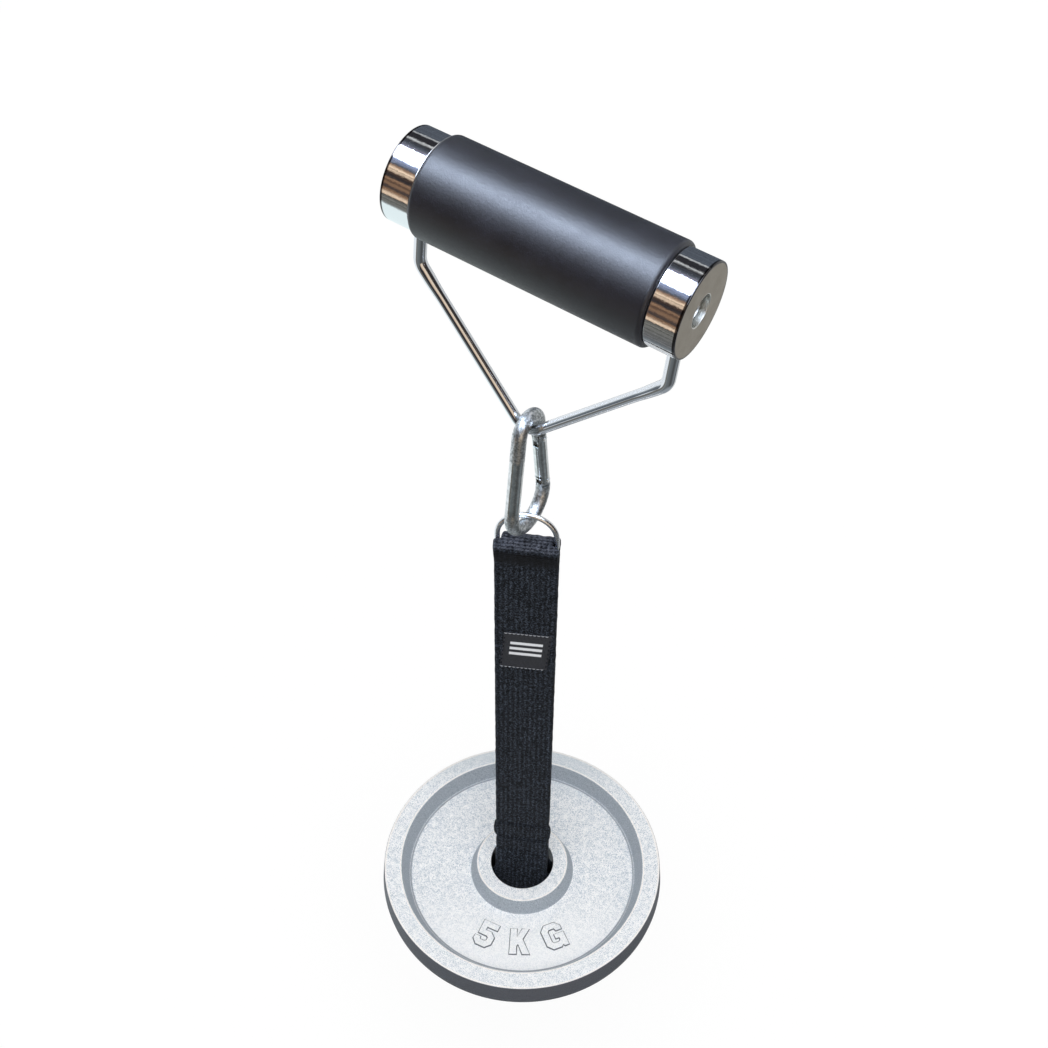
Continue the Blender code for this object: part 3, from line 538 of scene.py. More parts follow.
def make_plate_material(name, wall_dark, wall_light, level=0.75):
    """Silver hammered paint: pale and speckled on the faces; plain on the walls, which are darker as painted
    shade.
    """
    made, tree, shader = new_material(name, (0.76, 0.81, 0.86), 0.5)
    point = object_point(tree)
    upward = along_axis(given(tree, "ShaderNodeTexCoord", "Normal"), UP)
    # Faces that point up get the pale speckled paint; walls that turn away from above get darker tones as
    # painted shade.
    face = mapped(upward, level, 0.5 + level / 2, smooth=True)
    offset = vector_maths("SUBTRACT", point, (HANG_X, 0, 0))
    radius = vector_maths("LENGTH", vector_maths("MULTIPLY", offset, (1, 1, 0)), output="Value")
    outside = mapped(radius, PLATE_TOP_RADIUS - 0.5 * MM, PLATE_TOP_RADIUS - 0.1 * MM)
    inside = mapped(radius, PLATE_HOLE + 0.45 * MM, PLATE_HOLE + 0.2 * MM)

    grain = mottle(point, 0.70 * MM, 2.0, 0.85)
    speckle = grain + mottle(point, 4.5 * MM, 3.0, 0.6) * 0.22
    pale = mixed(mapped(speckle, 0.53, 0.65), (0.44, 0.51, 0.58), (1.0, 1.0, 1.0))
    # Painted highlight: the faces are lightened towards the camera's side, less on the rim; painted shade
    # darkens the far side.
    label_side = along_axis(offset, (0.51, -0.86, 0))
    bright = mapped(label_side, 0.0, 85 * MM, 0.0, 0.65, smooth=True)
    bright = bright * mapped(radius, RIM_INNER, RIM_INNER - 1 * MM, 0.25, 1.0)
    pale = mixed(bright, pale, (1.0, 1.0, 1.0))
    pale = mixed(mapped(label_side, -60 * MM, -112 * MM, 0.0, 0.60, smooth=True), pale, (0.50, 0.56, 0.60))
    # Painted highlights: narrow cream rings along the rim's outer and inner top edges and the hub's edge.
    for place, half in ((PLATE_TOP_RADIUS - 1.0 * MM, 0.9 * MM), (RIM_INNER + 0.9 * MM, 0.7 * MM),
                        (HUB_TOP - 0.9 * MM, 0.8 * MM)):
        pale = mixed(near_radius(radius, place, half) * 0.6, pale, (1.0, 0.94, 0.88))
    # Painted shade: a dark ring in the corner where the web meets the rim's wall.
    corner = near_radius(radius, WEB_OUTER - 1.1 * MM, 1.0 * MM)
    pale = mixed(corner * 0.8, pale, (0.20, 0.23, 0.27))

    # Painted shade: the walls are darker than the faces, the outer side darker still, and the hole's wall
    # nearly black.
    wall = mixed(mapped(grain, 0.36, 0.64), wall_dark, wall_light)
    side = mixed(mapped(grain, 0.3, 0.7), (0.055, 0.060, 0.072), (0.115, 0.122, 0.140))
    walls = mixed(inside, mixed(outside, wall, side), (0.030, 0.030, 0.034))
    set_inputs(shader, {
        "Base Color": mixed(face, walls, pale),
        "Roughness": mapped(grain, 0.3, 0.7, 0.42, 0.60),
        "Normal": bump(speckle, 0.5 * MM, 0.6),
        "Specular IOR Level": 0.3,
    })
    return made


# Mesh helpers

def link_object(name, data):
    made = bpy.data.objects.new(name, data)
    bpy.context.scene.collection.objects.link(made)
    return made


def object_from(shape, name, matrix):
    """Turns a bmesh into an object, at the place that a matrix gives."""
    bmesh.ops.transform(shape, matrix=matrix, verts=shape.verts)
    bmesh.ops.recalc_face_normals(shape, faces=shape.faces)
    mesh = bpy.data.meshes.new(name)
    shape.to_mesh(mesh)
    shape.free()
    return link_object(name, mesh)


def piece_from(shape, name, finish, body, replaced, matrix, sharp=40.0):
    """Turns a bmesh into a smooth piece that rides on a body."""
    piece = object_from(shape, name, matrix)
    piece.data.shade_smooth()
    piece.data.set_sharp_from_angle(angle=sharp * DEGREE)
    piece.data.materials.append(finish)
    if body is not None:
        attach(piece, body)
    if replaced:
        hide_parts(*replaced)
    return piece


def cut(piece, shape, matrix):
    """Cuts a closed bmesh out of a piece for good."""
    cutter = object_from(shape, "cutter", matrix)
    modifier = piece.modifiers.new("cut", "BOOLEAN")
    modifier.operation = "DIFFERENCE"
    modifier.object = cutter
    bpy.context.view_layer.update()
    graph = bpy.context.evaluated_depsgraph_get()
    piece.data = bpy.data.meshes.new_from_object(piece.evaluated_get(graph))
    piece.modifiers.clear()
    bpy.data.objects.remove(cutter, do_unlink=True)
    piece.data.set_sharp_from_angle(angle=40 * DEGREE)


def weight_normals(piece):
    modifier = piece.modifiers.new("weighted", "WEIGHTED_NORMAL")
    modifier.keep_sharp = True
    modifier.weight = 80


def arc(centre, radius, start, end, steps):
    points = []
    for i in range(steps + 1):
        angle = start + (end - start) * i / steps
        points.append((centre[0] + radius * math.cos(angle), centre[1] + radius * math.sin(angle)))
    return points


def slab(reach, low, high):
    return [(-reach, low), (reach, low), (reach, high), (-reach, high)]


def mirrored(upper):
    """A closed outline from its upper half, with the lower half as its mirror image."""
    return [(radius, -height) for radius, height in reversed(upper)] + upper


def rounded(corners, radius, steps=4):
    """A closed outline with each corner off the axis rounded, as far as its sides allow."""
    points = []
    for i, corner in enumerate(corners):
        here = Vector(corner)
        before = Vector(corners[i - 1]) - here
        after = Vector(corners[(i + 1) % len(corners)]) - here
        if here.x < 1e-9 or before.length < 1e-9 or after.length < 1e-9:
            points.append(tuple(here))
            continue
        half_angle = before.angle(after) / 2
        setback = min(radius / math.tan(half_angle), 0.45 * before.length, 0.45 * after.length)
        first = here + before.normalized() * setback
        last = here + after.normalized() * setback
        for k in range(steps + 1):
            share = k / steps
            points.append(tuple(first.lerp(here, share).lerp(here.lerp(last, share), share)))
    return points


def bridge(shape, first, second):
    """Faces between two closed rings of vertices, either of which may be a single point."""
    for k in range(len(first)):
        n = (k + 1) % len(first)
        corners = list(dict.fromkeys((first[k], first[n], second[n], second[k])))
        if len(corners) > 2:
            shape.faces.new(corners)


def skin(shape, rings, closed=False):
    """Faces along a row of rings, which closes on itself or has two end caps."""
    for first, second in zip(rings, rings[1:]):
        bridge(shape, first, second)
    if closed:
        bridge(shape, rings[-1], rings[0])
    else:
        shape.faces.new(rings[0])
        shape.faces.new(rings[-1])
    return shape


def turned(outline, segments):
    """A bmesh turned about local Z from a closed outline of (radius, height) points."""
    shape = bmesh.new()
    rings = []
    for radius, height in outline:
        if radius < 1e-7:
            rings.append([shape.verts.new((0, 0, height))] * segments)
        else:
            circle = arc((0, 0), radius, 0, ROUND, segments)[:-1]
            rings.append([shape.verts.new((x, y, height)) for x, y in circle])
    return skin(shape, rings, True)


def rounded_path(corners, radii, steps):
    """An open path through (a, b) corners, each inner corner rounded by its own radius."""
    points = [Vector(corners[0])]
    for i, radius in enumerate(radii, 1):
        corner = Vector(corners[i])
        before = (Vector(corners[i - 1]) - corner).normalized()
        after = (Vector(corners[i + 1]) - corner).normalized()
        half_angle = before.angle(after) / 2
        setback = radius / math.tan(half_angle)
        centre = corner + (before + after).normalized() * radius / math.sin(half_angle)
        first = corner + before * setback - centre
        sweep = first.angle_signed(corner + after * setback - centre)
        points += [centre + Matrix.Rotation(-sweep * k / steps, 2) @ first for k in range(steps + 1)]
    return points + [Vector(corners[-1])]


def spaced(points, step):
    """The same open path, with points no further apart than the step."""
    result = [points[0]]
    for first, last in zip(points, points[1:]):
        count = max(1, math.ceil((last - first).length / step))
        result += [first.lerp(last, i / count) for i in range(1, count + 1)]
    return result


def swept(points, radius, sides, normal, closed=False, swell=None):
    """A bmesh tube of round section along a flat path; swell(point) adds to the radius."""
    shape = bmesh.new()
    count = len(points)
    rings = []
    for i, point in enumerate(points):
        before = points[i - 1] if closed or i > 0 else point
        after = points[(i + 1) % count] if closed or i < count - 1 else point
        outward = (after - before).normalized().cross(normal)
        ring = []
        for k in range(sides):
            angle = ROUND * (k + 0.5) / sides
            offset = outward * math.cos(angle) + normal * math.sin(angle)
            place = point + radius * offset
            if swell is not None:
                place += swell(place) * offset
            ring.append(shape.verts.new(place))
        rings.append(ring)
    return skin(shape, rings, closed)


def prism(outline, low, high):
    shape = bmesh.new()
    base = shape.faces.new([shape.verts.new((x, y, low)) for x, y in outline])
    grown = bmesh.ops.extrude_face_region(shape, geom=[base])
    top = [item for item in grown["geom"] if isinstance(item, bmesh.types.BMVert)]
    bmesh.ops.translate(shape, verts=top, vec=(0, 0, high - low))
    return shape


def smooth_share(value):
    share = min(max(value, 0.0), 1.0)
    return share * share * (3 - 2 * share)


def hump(value, middle, half):
    return math.exp(-(((value - middle) / half) ** 2))


def uneven(x, y, z):
    return noise.noise(Vector((x, y, z)))


# Handle

def make_sleeve(finish):
    lip = arc((SLEEVE_RADIUS - SLEEVE_LIP, SLEEVE_HALF - SLEEVE_LIP), SLEEVE_LIP, 0, QUARTER, 10)
    upper = lip + [(SLEEVE_BORE + SLEEVE_CHAMFER, SLEEVE_HALF), (SLEEVE_BORE, SLEEVE_HALF - SLEEVE_CHAMFER)]
    piece = piece_from(turned(mirrored(upper), 128), "sleeve_skin", finish, "grip",
                       ["grip_sleeve"], along_handle)
    weight_normals(piece)


def handle_end(side):
    """The side's sign, and the turn that lays local Z along the handle towards it."""
    direction = 1 if side == "right" else -1
    return direction, handle_turn @ turn(direction * QUARTER, "Y")


def make_collar(side, finish):
    seat = CORE_RADIUS + CLEARANCE
    passage = SCREW_RADIUS + CLEARANCE
    corners = [
        (passage, COLLAR_FACE + CORE_SEAT),
        (seat, COLLAR_FACE + CORE_SEAT),
        (seat, COLLAR_FACE),
        (COLLAR_RADIUS, COLLAR_FACE),
        (COLLAR_RADIUS, HANDLE_END),
        (RECESS_RADIUS, HANDLE_END),
        (RECESS_RADIUS, RECESS_FLOOR),
        (passage, RECESS_FLOOR),
    ]
    direction, place = handle_end(side)
    collar = piece_from(turned(rounded(corners, COLLAR_EDGE), 144), "collar_shell_" + side, finish,
                        "frame", ["collar_" + side], place)
    bore = BAIL_ROD / 2 + CLEARANCE
    hole = turned([(0, 0), (bore, 0), (bore, BAIL_HOLE_DEPTH), (0, BAIL_HOLE_DEPTH)], 32)
    down = handle_turn @ move(direction * BAIL_HALF_SPAN, 0, -BAIL_END_DEPTH + CLEARANCE)
    cut(collar, hole, down @ turn(math.pi, "X"))
    weight_normals(collar)


def make_end_screw(side, finish):
    place = handle_end(side)[1]
    top = SCREW_SEAT + SCREW_HEAD_HEIGHT
    tip = SCREW_SEAT - SCREW_LENGTH
    corners = [(0.0, tip), (SCREW_RADIUS, tip), (SCREW_RADIUS, SCREW_SEAT), (SCREW_HEAD_RADIUS, SCREW_SEAT),
               (SCREW_HEAD_RADIUS, top), (0.0, top)]
    screw = piece_from(turned(rounded(corners, SCREW_EDGE), 64), "socket_screw_" + side, finish, "frame",
                       ["end_screw_" + side], place)
    hexagon = arc((0, 0), SOCKET_FLATS / 2 / math.cos(math.pi / 6), 0, ROUND, 6)[:-1]
    cut(screw, prism(hexagon, top - SOCKET_DEPTH, top + 1 * MM), place)
    weight_normals(screw)


def leg_swell(place):
    """The rod is a little thicker down its legs, below the collars, than along its arms."""
    below = smooth_share((-place.z - COLLAR_RADIUS - 0.8 * MM) / (2 * MM))
    outer = smooth_share((abs(place.x) - BAIL_HALF_SPAN + 17 * MM) / (12 * MM))
    return LEG_SWELL * below * outer


def make_bail(finish):
    corners = [
        (-BAIL_HALF_SPAN, -BAIL_END_DEPTH),
        (-BAIL_HALF_SPAN, -BAIL_SHOULDER_DROP),
        (0.0, -BAIL_VERTEX_DROP),
        (BAIL_HALF_SPAN, -BAIL_SHOULDER_DROP),
        (BAIL_HALF_SPAN, -BAIL_END_DEPTH),
    ]
    radii = [BAIL_SHOULDER_RADIUS, BAIL_APEX_RADIUS, BAIL_SHOULDER_RADIUS]
    path = [Vector((across, 0, height)) for across, height in rounded_path(corners, radii, 20)]
    shape = swept(spaced(path, ROD_MESH_STEP), BAIL_ROD / 2, 32, DEPTHWISE, swell=leg_swell)
    piece_from(shape, "bail_rod", finish, "frame", ["bail"], handle_turn)


# Snap hook

def hook_path():
    small = (0.0, -HOOK_SMALL_BOW)
    large = (0.0, -(HOOK_LENGTH - HOOK_ROD) + HOOK_LARGE_BOW)
    lean = math.asin((HOOK_LARGE_BOW - HOOK_SMALL_BOW) / (small[1] - large[1]))
    top = arc(small, HOOK_SMALL_BOW, lean, math.pi - lean, 28)
    bottom = arc(large, HOOK_LARGE_BOW, math.pi - lean, ROUND + lean, 40)
    return [Vector(point) for point in top], [Vector(point) for point in bottom], lean


def bend_marks(place):
    """The rod is slightly flattened and rippled where it was bent."""
    ripple = noise.noise(place * 700) * 0.16 * MM
    return ripple * (0.25 + hump(place.z, -22 * MM, 7 * MM) + 0.6 * hump(place.z, -70 * MM, 8 * MM))


def make_hook(finish, pin_finish):
    top, bottom, lean = hook_path()
    along = (bottom[-1] - top[0]).normalized()
    pin = top[0] + along * GATE_PIN_DROP
    gate_place = hook_place @ move(0, pin.x, pin.y) @ turn(lean, "X")
    nose_end = pin + along * (GATE_SPAN - GATE_OVERHANG + CLEARANCE)
    flat = [pin + along * HOOK_ROD * 0.6] + top + bottom + [nose_end]
    path = spaced([Vector((0, across, height)) for across, height in flat], ROD_MESH_STEP)
    shape = swept(path, HOOK_ROD / 2, 36, RIGHT, swell=bend_marks)
    hook = piece_from(shape, "snap_hook", finish, "hook", ["hook_body"], hook_place)
    across_gate = Matrix(((0, 0, 1, 0), (1, 0, 0, 0), (0, 1, 0, 0), (0, 0, 0, 1)))

    def block(piece, outline, low, high):
        cut(piece, prism(outline, low, high), gate_place @ across_gate)

    inner = TONGUE_THICKNESS / 2
    for low, high in ((-HOOK_ROD, GATE_DIAMETER / 2 + 1 * MM),
                      (-(GATE_SPAN + GATE_OVERHANG + 1 * MM), -GATE_SPAN + HOOK_ROD)):
        block(hook, slab(HOOK_ROD, low, high), inner, HOOK_ROD)
        block(hook, slab(HOOK_ROD, low, high), -HOOK_ROD, -inner)
    bite = arc((0, 0), TONGUE_RADIUS, math.pi, ROUND, 20)
    end_shape = [(-HOOK_ROD, 0.0)] + bite + [(HOOK_ROD, 0.0), (HOOK_ROD, -HOOK_ROD), (-HOOK_ROD, -HOOK_ROD)]
    block(hook, end_shape, -HOOK_ROD, HOOK_ROD)
    notch_half = GATE_PIN_RADIUS + CLEARANCE
    notch = [(notch_half, -GATE_SPAN - notch_half), (notch_half, -GATE_SPAN + notch_half),
             (-HOOK_ROD, -GATE_SPAN + notch_half + NOTCH_FLARE), (-HOOK_ROD, -GATE_SPAN - notch_half)]
    block(hook, notch, -HOOK_ROD, HOOK_ROD)
    weight_normals(hook)

    radius = GATE_DIAMETER / 2
    low = -(GATE_SPAN + GATE_OVERHANG)
    corners = [(0.0, low), (radius, low), (radius, radius), (0.0, radius)]
    gate = piece_from(turned(rounded(corners, GATE_EDGE), 64), "snap_gate", finish, "gate",
                      ["gate"], gate_place)
    bite = arc((0, 0), radius - 0.1 * MM, math.pi, 0, 24)
    reach = 2 * radius
    block(gate, [(-reach, 0.0)] + bite + [(reach, 0.0), (reach, reach), (-reach, reach)], -reach, reach)
    slot = inner + CLEARANCE
    fork_floor = -TONGUE_RADIUS - FORK_DEPTH
    nose_top = -(GATE_SPAN - GATE_OVERHANG) + 1 * MM
    block(gate, slab(reach, fork_floor, reach), -slot, slot)
    block(gate, slab(reach, low - reach, nose_top), -slot, slot)
    weight_normals(gate)

    head = radius - PIN_HEAD_DEPTH
    upper = [(GATE_PIN_RADIUS, head), (PIN_HEAD_RADIUS, head), (PIN_HEAD_RADIUS, radius + PIN_HEAD_RISE),
             (0.0, radius + PIN_HEAD_RISE)]
    for name, node, body, height in (("gate_rivet_head", "gate_rivet", "hook", 0.0),
                                     ("latch_pin_head", "latch_pin", "gate", -GATE_SPAN)):
        place = gate_place @ move(0, 0, height) @ turn(QUARTER, "Y")
        shape = turned(rounded(mirrored(upper), PIN_HEAD_EDGE), 32)
        piece_from(shape, name, pin_finish, body, [node], place)


# Ring, strap and label

def make_ring(finish):
    half = RING_INNER_WIDTH / 2 + RING_ROD / 2
    crown = arc((0.0, RING_HEIGHT - half), half, 0, math.pi, 60)
    left = arc((-half + RING_CORNER, RING_CORNER), RING_CORNER, math.pi, 1.5 * math.pi, 10)
    right = arc((half - RING_CORNER, RING_CORNER), RING_CORNER, 1.5 * math.pi, ROUND, 10)
    path = []
    for across, height in crown + left + right:
        point = Vector((across, 0, RING_BAR_Z + height))
        if not path or (point - path[-1]).length > 0.05 * MM:
            path.append(point)
    shape = swept(spaced(path, 1 * MM), RING_ROD / 2, 24, DEPTHWISE, closed=True)
    piece_from(shape, "wire_ring", finish, "ring", ["d_ring"], strap_place)


def tangent_angle(offset, rise, radius):
    """The angle on a loop's circle where a straight ply from (offset, rise) touches it."""
    return math.atan2(rise, offset) - math.acos(radius / math.hypot(offset, rise))


def ply_path():
    """The inner face of one ply as (offset, height), from over the ring's bar to under the loading bar."""
    top_radius = RING_ROD / 2 + CLEARANCE
    bar_radius = BAR_RADIUS + CLEARANCE
    fold = Vector((PLY_INNER_FACE, RING_BAR_Z - FOLD_DROP))
    seam = Vector((PLY_INNER_FACE, BAR_Z + BAR_SEAM_RISE))
    top_touch = -tangent_angle(PLY_INNER_FACE, FOLD_DROP, top_radius)
    bar_touch = tangent_angle(PLY_INNER_FACE, BAR_SEAM_RISE, bar_radius)
    path = [Vector(point) for point in arc((0.0, RING_BAR_Z), top_radius, QUARTER, top_touch, 44)]
    path += spaced([path[-1], fold], 0.6 * MM)[1:]
    path += spaced([fold, seam], WEBBING_STEP)[1:]
    lower = [Vector(point) for point in arc((0.0, BAR_Z), bar_radius, bar_touch, -QUARTER, 24)]
    return path + spaced([seam, lower[0]], WEBBING_STEP)[1:] + lower[1:]


def ply_thickness(height):
    """The webbing is turned back on itself over the ring, and thins to one layer below."""
    share = smooth_share((RING_BAR_Z - height) / FOLD_DROP)
    return FOLD_THICKNESS + (WEBBING_THICKNESS - FOLD_THICKNESS) * share


def half_width(point, side):
    """Half of the webbing's width at a point of its path, on the side with that sign."""
    drop = RING_BAR_Z - point.y
    angle = math.atan2(-drop, point.x)
    if drop > 0 and angle > 0:
        angle -= ROUND
    if point.x > 0 and side > 0:
        grown = smooth_share((FRONT_RIGHT_EAR - angle) / FRONT_RIGHT_SPREAD)
    elif point.x > 0:
        grown = 1.0 if angle < FRONT_LEFT_EAR else 0.0
    elif side > 0 and (angle > BACK_RIGHT_EAR or drop > 0):
        grown = 1.0
    else:
        grown = smooth_share((drop - 3.4 * MM) / (8 * MM))
    width = STRAP_NECK / 2 + (STRAP_WIDTH - STRAP_NECK) / 2 * grown
    for seam in SEAM_DROPS:
        width -= SEAM_PINCH * hump(drop, seam, 2.2 * MM)
    between_seams = (drop - sum(SEAM_DROPS) / 2) / (8 * MM)
    width += (LEFT_BULGE if side < 0 else RIGHT_BULGE) * math.exp(-between_seams ** 4)
    depth = PLATE_TOP_Z - point.y
    # In and under the plate's hole the webbing is widened to hide the floor there, a dark fill standing in
    # for shade.
    width += HOLE_SHADE_SPREAD * smooth_share(depth / (11 * MM))
    width += EYE_SHADE_SPREAD * smooth_share((depth - PLATE_THICKNESS - 1.2 * MM) / (1.5 * MM))
    ragged = uneven(side * 3.1, 0.0, point.y / (7 * MM))
    fine = uneven(side * 5.3, 2.0, point.y / (1.6 * MM))
    return width + ragged * 0.25 * MM + fine * 0.12 * MM


def surface_height(across, along, drop):
    """How far the webbing's surface stands off: ribs, gathers over the ring, a little unevenness."""
    rib = math.cos(ROUND * across / (7.1 * MM)) * 0.09 * MM
    rough = uneven(across / (9 * MM), along / (14 * MM), 1.0) * 0.16 * MM
    gather = hump(max(drop, 0.0), 0.0, 11 * MM)
    bend = uneven(across / (6 * MM), along / (9 * MM), 5.0) * 2.2
    crosswise = math.cos(ROUND * along / (2.5 * MM) + bend) * 0.10 * MM
    waves = uneven(across / (5 * MM), along / (8 * MM), 8.0) * 0.45 * MM
    return rib + rough + gather * (crosswise + waves)


def columns(left, right):
    """Places across the webbing from its left edge to its right one."""
    places = [-left + (left - INNER_HALF) * k / EAR_COLUMNS for k in range(EAR_COLUMNS)]
    places += [INNER_HALF * (2 * k / INNER_COLUMNS - 1) for k in range(INNER_COLUMNS)]
    return places + [INNER_HALF + (right - INNER_HALF) * k / EAR_COLUMNS for k in range(EAR_COLUMNS + 1)]


def ply_outward(loop, i):
    tangent = (loop[(i + 1) % len(loop)] - loop[i - 1]).normalized()
    return Vector((-tangent.y, tangent.x))


def woven_shape():
    """An empty bmesh whose vertices keep their place on the cloth, and the layers for that."""
    shape = bmesh.new()
    return shape, [shape.verts.layers.float.new(name) for name in ("across", "along")]


def woven_vert(shape, layers, place, across, along):
    vert = shape.verts.new(place)
    vert[layers[0]] = across
    vert[layers[1]] = along
    return vert


def make_strap(finish):
    front = ply_path()
    loop = front + [Vector((-point.x, point.y)) for point in front[-2:0:-1]]
    outers = [point + ply_outward(loop, i) * ply_thickness(point.y) for i, point in enumerate(loop)]
    around = sum((outer - outers[i - 1]).length for i, outer in enumerate(outers))
    shape, layers = woven_shape()
    rings = []
    travelled = 0.0
    for i, point in enumerate(loop):
        outward = ply_outward(loop, i)
        thickness = ply_thickness(point.y)
        travelled += (outers[i] - outers[i - 1]).length if i else 0.0
        along = travelled if i < len(front) else travelled - around
        drop = RING_BAR_Z - point.y
        facing = 1 if point.x > 0 else -1
        places = columns(half_width(point, -1), half_width(point, 1))
        round_off = 0.25 * thickness + 0.1 * MM
        ring = []
        for layer in (1, 0):
            for across in (places if layer else reversed(places)):
                rim = min(min(across - places[0], places[-1] - across) / round_off, 1.0)
                swell = math.sqrt(max(1 - (1 - rim) ** 2, 0.04))
                depth = thickness * (0.5 + (layer - 0.5) * swell)
                if layer:
                    depth += surface_height(across, travelled, drop) * rim
                place = point + outward * depth
                if abs(across) > STRAP_NECK / 2 + 0.15 * MM and drop < 1.9 * MM:
                    least = LEG_CLEAR + layer * EAR_THICKNESS
                    place.x = facing * max(facing * place.x, least)
                ring.append(woven_vert(shape, layers, (across, -place.x, place.y), across, along))
        rings.append(ring)
    strap = piece_from(skin(shape, rings, True), "webbing_loop", finish, None, ["strap_webbing"],
                       strap_place, 60.0)
    RING_BAR_Z - BEND_START
    RING_BAR_Z - BEND_END
    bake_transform(strap)


def stitches(rows, radius, name, finish, outward):
    """Stitches between pairs of (across, height) points, at an offset from the strap's middle."""
    shape = bmesh.new()
    sides = 6
    for ends in rows:
        start, end = [Vector((across, -outward, height)) for across, height in ends]
        sideways = (end - start).normalized().cross(DEPTHWISE)
        rings = []
        for i in range(7):
            share = i / 6
            crest = math.sin(math.pi * share)
            centre = start.lerp(end, share) - DEPTHWISE * (crest * 1.2 * radius - 0.4 * radius)
            thick = radius * (0.55 + 0.45 * crest)
            rings.append([shape.verts.new(centre + thick * (sideways * x + DEPTHWISE * y))
                          for x, y in arc((0, 0), 1.0, 0, ROUND, sides)[:-1]])
        skin(shape, rings)
    piece_from(shape, name, finish, "strap", (), strap_place, 60.0)


def row(low, high, fixed, vertical, length, gap, placed=lambda across, height: (across, height)):
    """Start and end points of stitches between two values, along a line at a fixed value."""
    result = []
    place = low
    while place + length <= high:
        ends = [(fixed, value) if vertical else (value, fixed) for value in (place, place + length)]
        result.append([placed(*end) for end in ends])
        place += length + gap
    return result


def label_place(across, along):
    """A point of the label, which is sewn on a little askew, on the strap's front."""
    shift = LABEL_ASIDE + across * math.cos(LABEL_TURN) + along * math.sin(LABEL_LEAN)
    rise = across * math.sin(LABEL_TURN) + along * math.cos(LABEL_LEAN)
    return Vector((shift, RING_BAR_Z - LABEL_DROP + LABEL_RAISED + rise))


def make_seams(finish):
    half = STRAP_WIDTH / 2 - SEAM_MARGIN
    upper, lower = [RING_BAR_Z - drop for drop in SEAM_DROPS]
    rows = []
    for height in (upper, lower):
        for offset in (-SEAM_ROW_OFFSET, SEAM_ROW_OFFSET):
            rows += row(-half, half, height + offset, False, STITCH_LENGTH, STITCH_GAP)
    for side in (-half, half):
        rows += row(lower, upper, side, True, STITCH_LENGTH, STITCH_GAP)
    stitches(rows, STITCH_RADIUS, "eye_stitching", finish, PLY_FACE + 0.12 * MM)


def make_label(finish, light_thread, dark_thread):
    """A woven label with turned-in edges, sewn on the front ply."""
    back = PLY_FACE + 0.05 * MM
    half_w, half_h = LABEL_WIDTH / 2, LABEL_HEIGHT / 2
    shape, layers = woven_shape()
    grids = {1: [], 0: []}
    for level, grid in grids.items():
        for i in range(LABEL_ROWS + 1):
            along = (2 * i / LABEL_ROWS - 1) * half_h
            line = []
            for k in range(LABEL_COLUMNS + 1):
                across = (2 * k / LABEL_COLUMNS - 1) * half_w
                rim = min(half_w - abs(across), half_h - abs(along))
                fold = smooth_share((3.2 * MM - rim) / (0.8 * MM))
                sewn = hump(rim, 1.4 * MM, 0.7 * MM)
                puff = uneven(across / (6 * MM), along / (6 * MM), 4.0) * 0.09 * MM
                rise = (0.42 + 0.26 * fold - 0.16 * sewn) * MM + puff
                rise *= smooth_share(0.25 + rim / (0.5 * MM))
                wobble = uneven(across / (4 * MM), along / (4 * MM), 9.0) * 0.25 * MM
                flat = label_place(across + wobble * (rim < 0.5 * MM), along)
                place = (flat.x, -(back + rise * level), flat.y)
                line.append(woven_vert(shape, layers, place, across, along))
            grid.append(line)
        for first, second in zip(grid, grid[1:]):
            for k in range(LABEL_COLUMNS):
                shape.faces.new((first[k], first[k + 1], second[k + 1], second[k]))
    borders = []
    for grid in grids.values():
        border = [line[0] for line in grid[:-1]] + grid[-1][:-1]
        borders.append(border + [line[-1] for line in grid[:0:-1]] + grid[0][:0:-1])
    bridge(shape, *borders)
    piece_from(shape, "woven_label", finish, "strap", ["label_patch"], strap_place, 60.0)

    light, dark = [], []
    for side in (-1, 1):
        light += row(-half_w + 0.3 * MM, half_w, side * (half_h - 0.35 * MM), False, 2.3 * MM, 0.55 * MM,
                     label_place)
        dark += row(-half_h + 3.0 * MM, half_h - 2.0 * MM, side * (half_w - 0.8 * MM), True, 2.2 * MM,
                    2.4 * MM, label_place)
    stitches(light, 0.34 * MM, "label_thread_pale", light_thread, back + 0.50 * MM)
    stitches(dark, 0.5 * MM, "label_thread_dark", dark_thread, back + 0.50 * MM)


def make_bar(finish):
    half = BAR_LENGTH / 2
    corners = mirrored([(BAR_RADIUS, half), (BAR_DIMPLE_RADIUS, half), (0.0, half - BAR_DIMPLE_DEPTH)])
    place = strap_place @ move(0, 0, BAR_Z) @ turn(QUARTER, "Y")
    bar = piece_from(turned(rounded(corners, BAR_EDGE, 6), 96), "cross_bar", finish, "bar",
                     ["loading_bar"], place)
    weight_normals(bar)


# Plate

# Each corner's radius and height, and how much it is rounded
PLATE_CORNERS = (
    (PLATE_HOLE, -HOLE_CHAMFER, 0.3 * MM),
    (PLATE_HOLE + HOLE_CHAMFER, 0.0, 0.6 * MM),
    (HUB_TOP, 0.0, 1.2 * MM),
    (HUB_BASE, -PLATE_RECESS, 2.0 * MM),
    (WEB_OUTER, -PLATE_RECESS, 2.4 * MM),
    (RIM_INNER, 0.0, 1.2 * MM),
    (PLATE_TOP_RADIUS, 0.0, 1.1 * MM),
    (PLATE_RADIUS, PLATE_DRAFT_RISE - PLATE_THICKNESS, 5.0 * MM),
    (PLATE_RADIUS - PLATE_DRAFT, -PLATE_THICKNESS, 5.5 * MM),
    (PLATE_HOLE + HOLE_CHAMFER, -PLATE_THICKNESS, 0.6 * MM),
    (PLATE_HOLE, HOLE_CHAMFER - PLATE_THICKNESS, 0.3 * MM),
)

